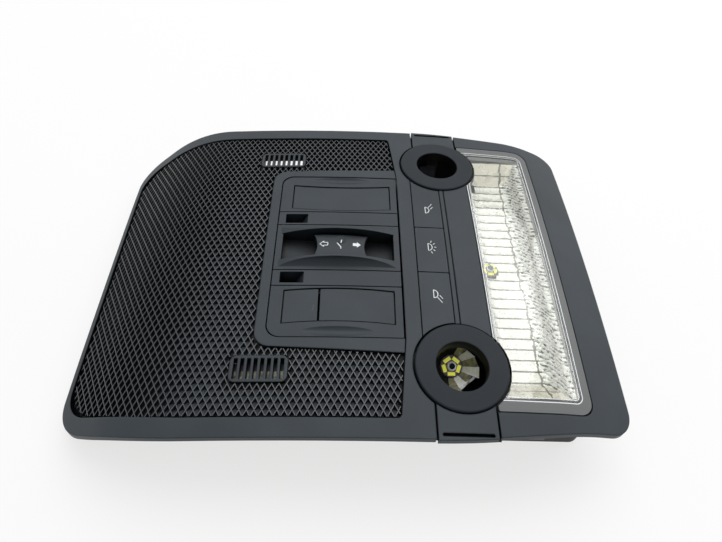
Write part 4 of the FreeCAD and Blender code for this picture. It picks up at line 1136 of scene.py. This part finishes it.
@dataclass
class ReadingLamp:
    """Aimed reading lamp under one ring: stepped bowl, painted lit on its rear half and painted shade
    elsewhere, and light source.
    """

    side: Side
    source_x: float = 45.0
    source_y: float = 49.7
    source_z: float = 24.0
    tilt: float = np.radians(29.0)
    facets: int = 14
    step: float = 0.9
    step_least: float = 0.15
    step_rise: float = 4.0
    # Bearings between which the bowl is painted lit.
    bright: Tuple[float, float] = (np.radians(-97.0), np.radians(75.0))
    profile_r: Tuple[float, ...] = (4.8, 7.0, 9.2, 11.0, 11.6)
    profile_z: Tuple[float, ...] = (0.4, 2.4, 6.0, 12.0, 18.0)
    profile_steps: int = 30
    bowl_depth: float = 5.6
    notch: float = np.radians(-50.0)
    notch_off: Tuple[float, ...] = (0.0, 24.0, 32.0, 42.0)
    notch_z: Tuple[float, ...] = (5.0, 6.4, 11.0, 18.0)
    brim_off: float = 25.0
    brim_band: Tuple[float, float] = (-0.75, 0.25)
    brim_lift: float = 0.05
    brim_steps: int = 40
    well_radius: float = 12.4
    well_floor: float = 19.0
    well_depth: float = 5.4
    well_tip: float = 0.02
    well_steps: int = 48

    def source(self) -> LightSource:
        """Light source at the bottom of the bowl."""
        origin = (self.source_x, self.side.value * self.source_y, self.source_z)
        return LightSource(self.side.name.lower(), origin, -self.side.value * self.tilt)

    def bowl(self) -> Tuple[Array, Array, Array]:
        """Bowl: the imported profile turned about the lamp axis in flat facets, each stepped in from the last.

        Returns:
            Vertices (n, 3), quads (m, 4) and the bearing of each quad, mirrored with the side.
        """
        z = np.linspace(self.profile_z[0], self.profile_z[-1], self.profile_steps)
        r = np.interp(z, self.profile_z, self.profile_r)
        edge = np.arange(self.facets) * 2.0 * np.pi / self.facets
        turn = np.stack([edge, edge + 2.0 * np.pi / self.facets], -1).ravel() - np.pi
        inset = np.tile([0.0, self.step], self.facets)
        radius = r[:, None] - inset * np.clip(z[:, None] / self.step_rise, self.step_least, 1.0)
        way = -self.side.value
        local = np.stack([radius * np.cos(turn), way * radius * np.sin(turn),
                          np.broadcast_to(z[:, None], radius.shape)], -1).reshape(-1, 3)
        faces = grid_faces(z.size, turn.size, True)
        middle = local[faces].mean(1)
        bearing = np.arctan2(way * middle[:, 1], middle[:, 0])
        brim = np.interp(np.degrees(np.abs(bearing - self.notch)), self.notch_off, self.notch_z)
        points = self.source().placed(local)
        under = points[:, 2] < FACE.height(points[:, 0], points[:, 1], self.bowl_depth)
        keep = under[faces].all(1) & (middle[:, 2] < brim)
        return points, faces[keep], bearing[keep]

    def shaft(self) -> Tuple[Array, Array]:
        """Painted shade: a near-black shaft under the ring, an upright tube from under the ring's own tube,
        closed over the board.

        Returns:
            Vertices (n, 3) and quads (m, 4).
        """
        turn = np.linspace(0.0, 2.0 * np.pi, self.well_steps, endpoint=False)
        out = self.well_radius * np.stack([np.cos(turn), np.sin(turn)], -1)
        middle = np.array([RING_X, self.side.value * RING_Y])
        wall = middle + out
        top = FACE.height(*wall.T, self.well_depth)
        level = np.full_like(top, self.well_floor)
        rows = ((wall, top), (wall, level), (middle + self.well_tip * out, level))
        points = np.concatenate([np.column_stack(row) for row in rows])
        return points, grid_faces(len(rows), turn.size, True)

    def brim(self) -> Tuple[Array, Array]:
        """Painted highlight on the edge of the cut-down wall: a narrow near-white band along the notch, square
        to the lamp axis.

        Returns:
            Vertices (n, 3) and quads (m, 4).
        """
        off = np.radians(np.linspace(-self.brim_off, self.brim_off, self.brim_steps))
        z = np.interp(np.abs(np.degrees(off)), self.notch_off, self.notch_z)
        r = np.interp(z, self.profile_z, self.profile_r)
        turn = self.notch + off
        x, y = np.cos(turn), -self.side.value * np.sin(turn)
        rows = [np.stack([(r + w) * x, (r + w) * y, z + self.brim_lift], -1) for w in self.brim_band]
        return self.source().placed(np.concatenate(rows)), grid_faces(2, turn.size)

    def build(self, looks: Looks) -> None:
        """Facets in painted light, darker folds between them as painted shade, a brim with a painted
        highlight, the other half and the shaft in painted shade, and the source.

        Args:
            looks: Material of each finish by name.
        """
        tag = self.side.name.lower()
        points, faces, bearing = self.bowl()
        # Painted light and shade: lit facets get near-white chrome, every other one a darker fold, and faces
        # outside the lit span near-black.
        bright = (bearing > self.bright[0]) & (bearing < self.bright[1])
        even = np.floor((bearing + np.pi) * self.facets / (2.0 * np.pi)).astype(int) % 2 == 0
        facets, folds, shade = faces[bright & even], faces[bright & ~even], faces[~bright]
        fan = make_piece(f"bowl_fan_{tag}", points, facets, "console", "reflector", looks["chrome"])
        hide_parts(f"lamp_reflector_{tag}")
        make_piece(f"bowl_fold_{tag}", points, folds, "console", "reflector", looks["folds"])
        make_piece(f"bowl_brim_{tag}", *self.brim(), "console", "reflector", looks["chrome"])
        make_piece(f"bowl_shade_{tag}", points, shade, "console", "reflector", looks["shade"])
        make_piece(f"lamp_shaft_{tag}", *self.shaft(), "console", "housing", looks["shade"], True)
        self.source().build(looks, "shade")


@dataclass
class ControlMarks:
    """White pictograms on the buttons and the roof switch knob, as flat strokes just over the surface."""

    lift: float = 0.05
    pen: float = 0.32
    ray_pen: float = 0.27
    bold_pen: float = 0.42
    dot_pen: float = 0.5
    faint_pen: float = 0.25
    bow: Tuple[float, float] = (1.8, 2.0)
    bow_steps: int = 11
    side_sign: Tuple[float, float] = (37.4, 24.4)
    side_rays: Tuple[Run, ...] = (((2.5, 0.7), (3.7, 2.3)), ((1.5, 1.7), (3.4, 4.3)))
    dome_sign: Tuple[float, float] = (37.0, 1.2)
    dome_fan: float = 62.0
    dome_rays: int = 5
    ray_start: Tuple[float, float] = (2.6, 2.9)
    ray_stop: Tuple[float, float] = (3.6, 4.2)
    arrow_outline: Run = ((1.9, 0), (0.2, 1.6), (0.2, 0.8), (-1.6, 0.8),
                          (-1.6, -0.8), (0.2, -0.8), (0.2, -1.6))
    arrow_front: Tuple[float, float] = (-9.4, 0.9)
    arrow_rear: Tuple[float, float] = (4.9, 1.0)
    knob_lines: Tuple[Run, ...] = (((-3.7, 1.6), (-1.9, -0.9)), ((-1.7, 3.4), (-2.0, 1.6)))
    knob_dot: Run = ((-2.3, -1.4), (-1.8, -1.4))
    knob_radius: float = 110.0
    knob_x: float = -2.0
    indicator_line: Run = ((-12.6, -30.9), (-12.7, -33.4), (-13.5, -33.5))
    indicator_depth: float = 0.5
    slope_x: Tuple[float, float] = (-17.5, -20.6)
    slope_y: Tuple[float, float] = (14.3, 19.8)
    slope_depth: Tuple[float, float] = (0.5, 5.5)
    vertices: List[Array] = field(default_factory=list)
    faces: List[List[int]] = field(default_factory=list)

    def polygon(self, points: Array) -> None:
        """One filled outline."""
        base = sum(len(v) for v in self.vertices)
        self.vertices.append(np.asarray(points, float))
        self.faces.append(list(range(base, base + len(points))))

    def stroke(self, points: Run | Array, width: float) -> None:
        """A line of even width: one rectangle per run.

        Args:
            points: Plan points of the line.
            width: Width of the line.
        """
        p = np.asarray(points, float)
        for a, b in zip(p[:-1], p[1:]):
            d = (b - a) / np.linalg.norm(b - a)
            n = np.array([-d[1], d[0]]) * width / 2.0
            self.polygon(np.array([a - n, b - n, b + n, a + n]))

    def emit(self, name: str, body: str, height: Callable[[Array, Array], Array],
             material: bpy.types.Material) -> None:
        """Lay the collected shapes on a surface as one piece.

        Args:
            name: Piece name.
            body: Body that carries it.
            height: Surface height over plan points.
            material: Finish of the print.
        """
        plan = np.concatenate(self.vertices)
        z = height(plan[:, 0], plan[:, 1]) + self.lift
        make_piece(name, np.column_stack([plan, z]), self.faces, body, "keys", material)
        self.vertices.clear()
        self.faces.clear()

    def lamp(self, middle: Sequence[float], rays: Array) -> None:
        """Lamp sign: the outline of a half disc with its round side to the rear, and rays beyond it.

        Args:
            middle: Middle of the flat side.
            rays: Start and end of each ray from that middle.
        """
        turn = np.radians(np.linspace(-90.0, 90.0, self.bow_steps))
        bow = np.stack([np.cos(turn), np.sin(turn)], -1) * self.bow
        self.stroke(np.concatenate([bow, bow[:1]]) + middle, self.pen)
        for ray in rays:
            self.stroke(ray + middle, self.ray_pen)

    def knob_top(self, x: Array, y: Array) -> Array:
        """Height of the knob's top: an arc lengthwise, level crosswise.

        Args:
            x: Lengthwise places.
            y: Crosswise places.

        Returns:
            Heights over the flat back.
        """
        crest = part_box("slider_knob")[1].z / MM
        arc = np.sqrt(self.knob_radius**2 - (x - self.knob_x) ** 2)
        return crest - self.knob_radius + arc + np.zeros_like(y)

    def key_signs(self, white: bpy.types.Material) -> None:
        """Lamp signs on the three push buttons: two rays to the outer side, or a fan of them."""
        for side in Side:
            mirror = (1.0, side.value)
            self.lamp(np.multiply(self.side_sign, mirror), np.multiply(self.side_rays, mirror))
            name = side.name.lower()
            self.emit(f"mark_{name}", f"{name}_key", FACE.height, white)
        turn = np.radians(np.linspace(-self.dome_fan, self.dome_fan, self.dome_rays))
        fan = np.stack([np.cos(turn), np.sin(turn)], -1)
        self.lamp(self.dome_sign, np.stack([fan * self.ray_start, fan * self.ray_stop], 1))
        self.emit("mark_dome", "dome_key", FACE.height, white)

    def knob_signs(self, white: bpy.types.Material) -> None:
        """Outlined arrow to the front, filled arrow to the rear, and the small sign between them."""
        outline = np.array(self.arrow_outline)
        front = outline * (-1.0, 1.0) + self.arrow_front
        self.stroke(np.concatenate([front, front[:1]]), self.pen)
        self.polygon(outline + self.arrow_rear)
        for line in self.knob_lines:
            self.stroke(line, self.bold_pen)
        self.stroke(self.knob_dot, self.dot_pen)
        self.emit("mark_knob", "knob", self.knob_top, white)

    def window_slopes(self) -> Tuple[Array, Array]:
        """Slanted end of each square window: a plane from under the rear edge down toward the pane.

        Returns:
            Vertices (n, 3) and quads (m, 4).
        """
        x, depth = np.repeat(self.slope_x, 2), np.repeat(self.slope_depth, 2)
        y = np.array([*self.slope_y, *self.slope_y[::-1]])
        planes = [FACE.points(x, side.value * y, depth) for side in Side]
        return np.concatenate(planes), np.arange(2 * x.size).reshape(2, -1)

    def build(self, looks: Looks) -> None:
        """The window slopes, and the marks on the buttons, the knob and the indicator.

        Args:
            looks: Material of each finish by name.
        """
        make_piece("window_slopes", *self.window_slopes(), "console", "keys", looks["keys"])
        self.key_signs(looks["white"])
        self.knob_signs(looks["white"])
        self.stroke(self.indicator_line, self.faint_pen)
        sunk = partial(FACE.height, depth=self.indicator_depth)
        self.emit("mark_indicator", "console", sunk, looks["faint"])


def seen(tree: bpy.types.NodeTree) -> Any:
    """One for rays from the camera, off gloss or through clear plastic, nought for diffuse light.

    Args:
        tree: Node tree to build in.

    Returns:
        The value socket.
    """
    path = tree.nodes.new("ShaderNodeLightPath")
    value = path.outputs["Is Camera Ray"]
    for name in ("Is Glossy Ray", "Is Transmission Ray"):
        node = tree.nodes.new("ShaderNodeMath")
        node.operation = "MAXIMUM"
        tree.links.new(value, node.inputs[0])
        tree.links.new(path.outputs[name], node.inputs[1])
        value = node.outputs["Value"]
    return value


@dataclass
class Studio:
    """Pale floor, soft light and the photograph's camera."""

    focal_px: float = 560.0
    width_px: float = 722.0
    sensor: float = 36.0
    clip: Tuple[float, float] = (0.01, 50.0)
    eye: Tuple[float, float, float] = (-5.27, -161.83, 227.88)
    right: Tuple[float, float, float] = (0.9981, -0.0027, 0.0623)
    down: Tuple[float, float, float] = (0.0363, -0.7863, -0.6168)
    ahead: Tuple[float, float, float] = (0.0507, 0.6178, -0.7847)
    floor_half: float = 6.0
    floor_tones: Tuple[Rgb, Rgb] = ((0.86, 0.86, 0.86), (0.9, 0.9, 0.9))
    floor_mottle: float = 3.0
    floor_rough: float = 0.9
    floor_white: float = 0.72
    paper: Rgb = (1.0, 1.0, 0.99)
    sky_colour: Rgb = (0.95, 0.98, 1.0)
    sky_way: Tuple[float, float, float] = (0.1, 0.55, 0.83)
    sky_reach: Tuple[float, float] = (-0.2, 0.9)
    sky_level: Tuple[float, float] = (0.12, 0.8)

    def camera(self) -> None:
        """Camera solved from the photograph, without shift."""
        data = bpy.data.cameras.new("photo_camera")
        data.sensor_fit = "HORIZONTAL"
        data.sensor_width = self.sensor
        data.lens = self.focal_px / self.width_px * self.sensor
        data.clip_start, data.clip_end = self.clip
        camera = bpy.data.objects.new("photo_camera", data)
        bpy.context.scene.collection.objects.link(camera)
        turn = Matrix((self.right, [-v for v in self.down], [-v for v in self.ahead])).transposed()
        camera.matrix_world = Matrix.Translation(Vector(self.eye) * MM) @ turn.to_4x4()
        bpy.context.scene.camera = camera

    def floor(self) -> None:
        """Floor far wider than the view, white to the camera and still shaded under the object."""
        mesh = bpy.data.meshes.new("floor")
        size = self.floor_half
        corners = [(-size, -size, 0), (size, -size, 0), (size, size, 0), (-size, size, 0)]
        mesh.from_pydata(corners, [], [(0, 1, 2, 3)])
        plane = bpy.data.objects.new("floor", mesh)
        bpy.context.scene.collection.objects.link(plane)
        s = Shader("floor_paper")
        s.feed(Base_Color=s.ramp(s.noise(self.floor_mottle, 2.0), *self.floor_tones))
        s.set(Roughness=self.floor_rough)
        paper = s.tree.nodes.new("ShaderNodeEmission")
        paper.inputs["Color"].default_value = (*self.paper, 1.0)
        mix = s.tree.nodes.new("ShaderNodeMixShader")
        s.link(s.math("MULTIPLY", seen(s.tree), self.floor_white), mix.inputs["Fac"])
        s.link(s.shader.outputs["BSDF"], mix.inputs[1])
        s.link(paper.outputs["Emission"], mix.inputs[2])
        s.link(mix.outputs["Shader"], s.tree.nodes["Material Output"].inputs["Surface"])
        mesh.materials.append(s.material)

    def lamp(self, name: str, place: Sequence[float], aim: Sequence[float],
             size: float, power: float) -> None:
        """One square soft light aimed at a point.

        Args:
            name: Light name.
            place: Position in metres.
            aim: Point it faces.
            size: Edge length in metres.
            power: Watts.
        """
        data = bpy.data.lights.new(name, "AREA")
        data.size = size
        data.energy = power
        lamp = bpy.data.objects.new(name, data)
        bpy.context.scene.collection.objects.link(lamp)
        way = Vector(aim) - Vector(place)
        lamp.matrix_world = Matrix.Translation(place) @ way.to_track_quat("-Z", "Y").to_matrix().to_4x4()

    def world(self) -> None:
        """White to the camera, to gloss and through the lens; as light, a sky that dims toward the camera."""
        world = bpy.data.worlds.new("studio")
        bpy.context.scene.world = world
        world.use_nodes = True
        tree = world.node_tree
        white = tree.nodes.new("ShaderNodeBackground")
        white.inputs["Color"].default_value = (1, 1, 1, 1)
        white.inputs["Strength"].default_value = 1.0
        grey = tree.nodes["Background"]
        grey.inputs["Color"].default_value = (*self.sky_colour, 1)
        way = tree.nodes.new("ShaderNodeTexCoord")
        lean = tree.nodes.new("ShaderNodeVectorMath")
        lean.operation = "DOT_PRODUCT"
        lean.inputs[1].default_value = self.sky_way
        tree.links.new(way.outputs["Generated"], lean.inputs[0])
        level = tree.nodes.new("ShaderNodeMapRange")
        for name, value in zip(RANGE_SOCKETS, (*self.sky_reach, *self.sky_level)):
            level.inputs[name].default_value = value
        tree.links.new(lean.outputs["Value"], level.inputs["Value"])
        tree.links.new(level.outputs["Result"], grey.inputs["Strength"])
        mix = tree.nodes.new("ShaderNodeMixShader")
        tree.links.new(seen(tree), mix.inputs["Fac"])
        tree.links.new(grey.outputs["Background"], mix.inputs[1])
        tree.links.new(white.outputs["Background"], mix.inputs[2])
        tree.links.new(mix.outputs["Shader"], tree.nodes["World Output"].inputs["Surface"])

    def build(self) -> None:
        """Whole stage."""
        bpy.context.scene.view_settings.view_transform = "Standard"
        self.camera()
        self.floor()
        self.lamp("back_soft", place=(0.1, 0.6, 1.2), aim=(0, 0, 0), size=1.2, power=10.0)
        self.lamp("side_soft", place=(0.9, 0.5, 0.8), aim=(0.05, 0, 0), size=0.7, power=3.0)
        self.world()


def finish_all() -> Looks:
    """Every finish, first those of the record's slots, then those of single nodes and of the new pieces.

    Returns:
        Material of each finish by name.
    """
    finishes = {
        # Trim and keys get painted shade in their seams and hollows.
        "trim": SatinPlastic("anthracite_trim", (0.032, 0.0398, 0.0468), edge=0.0008, sheen=0.22,
                             hollow=0.005),
        "grille": SatinPlastic("grille_black", (0.016, 0.0185, 0.021), 0.42, edge=0.0002, sheen=0.1),
        "keys": SatinPlastic("key_anthracite", KEY_COLOUR, 0.42, sheen=0.2, hollow=0.005),
        # The rings get painted shade inside their bores.
        "rings": SatinPlastic("ring_anthracite", (0.02, 0.025, 0.03), 0.42, sheen=0.12,
                              bores=(RING_X * MM, RING_Y * MM, RING_BORE * MM)),
        "lens": LensPlastic("clear_lens"),
        "reflector": FlutedMetal("bright_reflector"),
        "led": GlossPlastic("source_base", (0.05, 0.05, 0.075), 0.3),
        "board": BoardMask("board_green"),
        "housing": SatinPlastic("housing_black", (0.025, 0.025, 0.027), 0.55),
        "window": GlossPlastic("window_dark", (0.01, 0.01, 0.013), 0.12),
        "socket": SatinPlastic("socket_grey", (0.07, 0.07, 0.075), 0.5),
        "clip": SpringSteel("spring_strip"),
        "banded": BandedPlastic("microphone_banded"),
        # The switch housing, covers and knob get painted shade that reaches further, darkening the scoops and
        # ridge flanks.
        "scoop_shade": SatinPlastic("scooped_anthracite", KEY_COLOUR, 0.42, sheen=0.2, hollow=0.014),
        # Copies of the grille's black: near-black as painted shade for the pocket floor and seam strips,
        # lighter as painted highlight on the crests and painted light on the leaning floors.
        "deep": SatinPlastic("grille_deep", (0.008, 0.009, 0.01), 0.6, edge=0.0),
        "crests": SatinPlastic("grille_crest", (0.052, 0.058, 0.064), 0.3, edge=0.0002, sheen=0.5),
        "slopes": SatinPlastic("grille_slope", (0.04, 0.046, 0.052), 0.45, edge=0.0, sheen=0.1),
        # The phosphor gets a painted glow that brightens it in the shaded bowl, standing partly for its
        # fluorescence.
        "phosphor": GlossPlastic("phosphor_yellow", (0.84, 0.82, 0.08), 0.3, painted_glow=0.3),
        "pale": GlossPlastic("source_pale", (0.8, 0.82, 0.84), 0.25),
        "rippled": RippledMetal("rippled_rear"),
        # The end walls get a brighter, warmer copy of the reflector coating as painted light, as they face
        # away from the light.
        "ivory": FlutedMetal("ivory_ends", (0.95, 0.9, 0.76)),
        # Bowl finishes: near-white, mostly diffuse chrome as painted light and painted reflection, darker
        # folds and a near-black finish as painted shade.
        "chrome": BrightMetal("bowl_chrome", (0.98, 0.98, 0.97), 0.2, ripple=0.00001, metal=0.15),
        "folds": BrightMetal("bowl_folds", (0.34, 0.33, 0.28), 0.25, ripple=0.00001, metal=0.5),
        "shade": SatinPlastic("bowl_shade", (0.01, 0.0105, 0.0125), 0.4, edge=0.0, sheen=0.06),
        "white": SatinPlastic("print_white", (0.8, 0.82, 0.82), 0.6, edge=0.0),
        "faint": SatinPlastic("print_faint", (0.075, 0.085, 0.09), 0.5, edge=0.0),
    }
    return {name: finish.material() for name, finish in finishes.items()}


def dress(looks: Looks) -> None:
    """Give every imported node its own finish, or the finish of its slot.

    Args:
        looks: Material of each finish by name.
    """
    # These nodes take the finish with the wider painted shade.
    own = dict.fromkeys(("sunroof_housing", "left_cover", "right_cover", "slider_knob"), "scoop_shade")
    own["microphone"] = "banded"
    for entry in frame["record"]["subparts"]:
        node = frame["nodes"][entry["node"]]
        node.data.materials.clear()
        node.data.materials.append(looks[own.get(entry["node"], entry["material_slot"])])


def main() -> None:
    """Build every sub-assembly in order."""
    logging.basicConfig(level=logging.INFO)
    looks = finish_all()
    dress(looks)
    Grille().build(looks)
    SeamShadow().build(looks)
    DomeLight().build(looks)
    ReadingLamp(Side.LEFT, bright=FAR_PAINTED_LIT).build(looks)
    ReadingLamp(Side.RIGHT).build(looks)
    ControlMarks().build(looks)
    Studio().build()


if __name__ == "__main__":
    main()
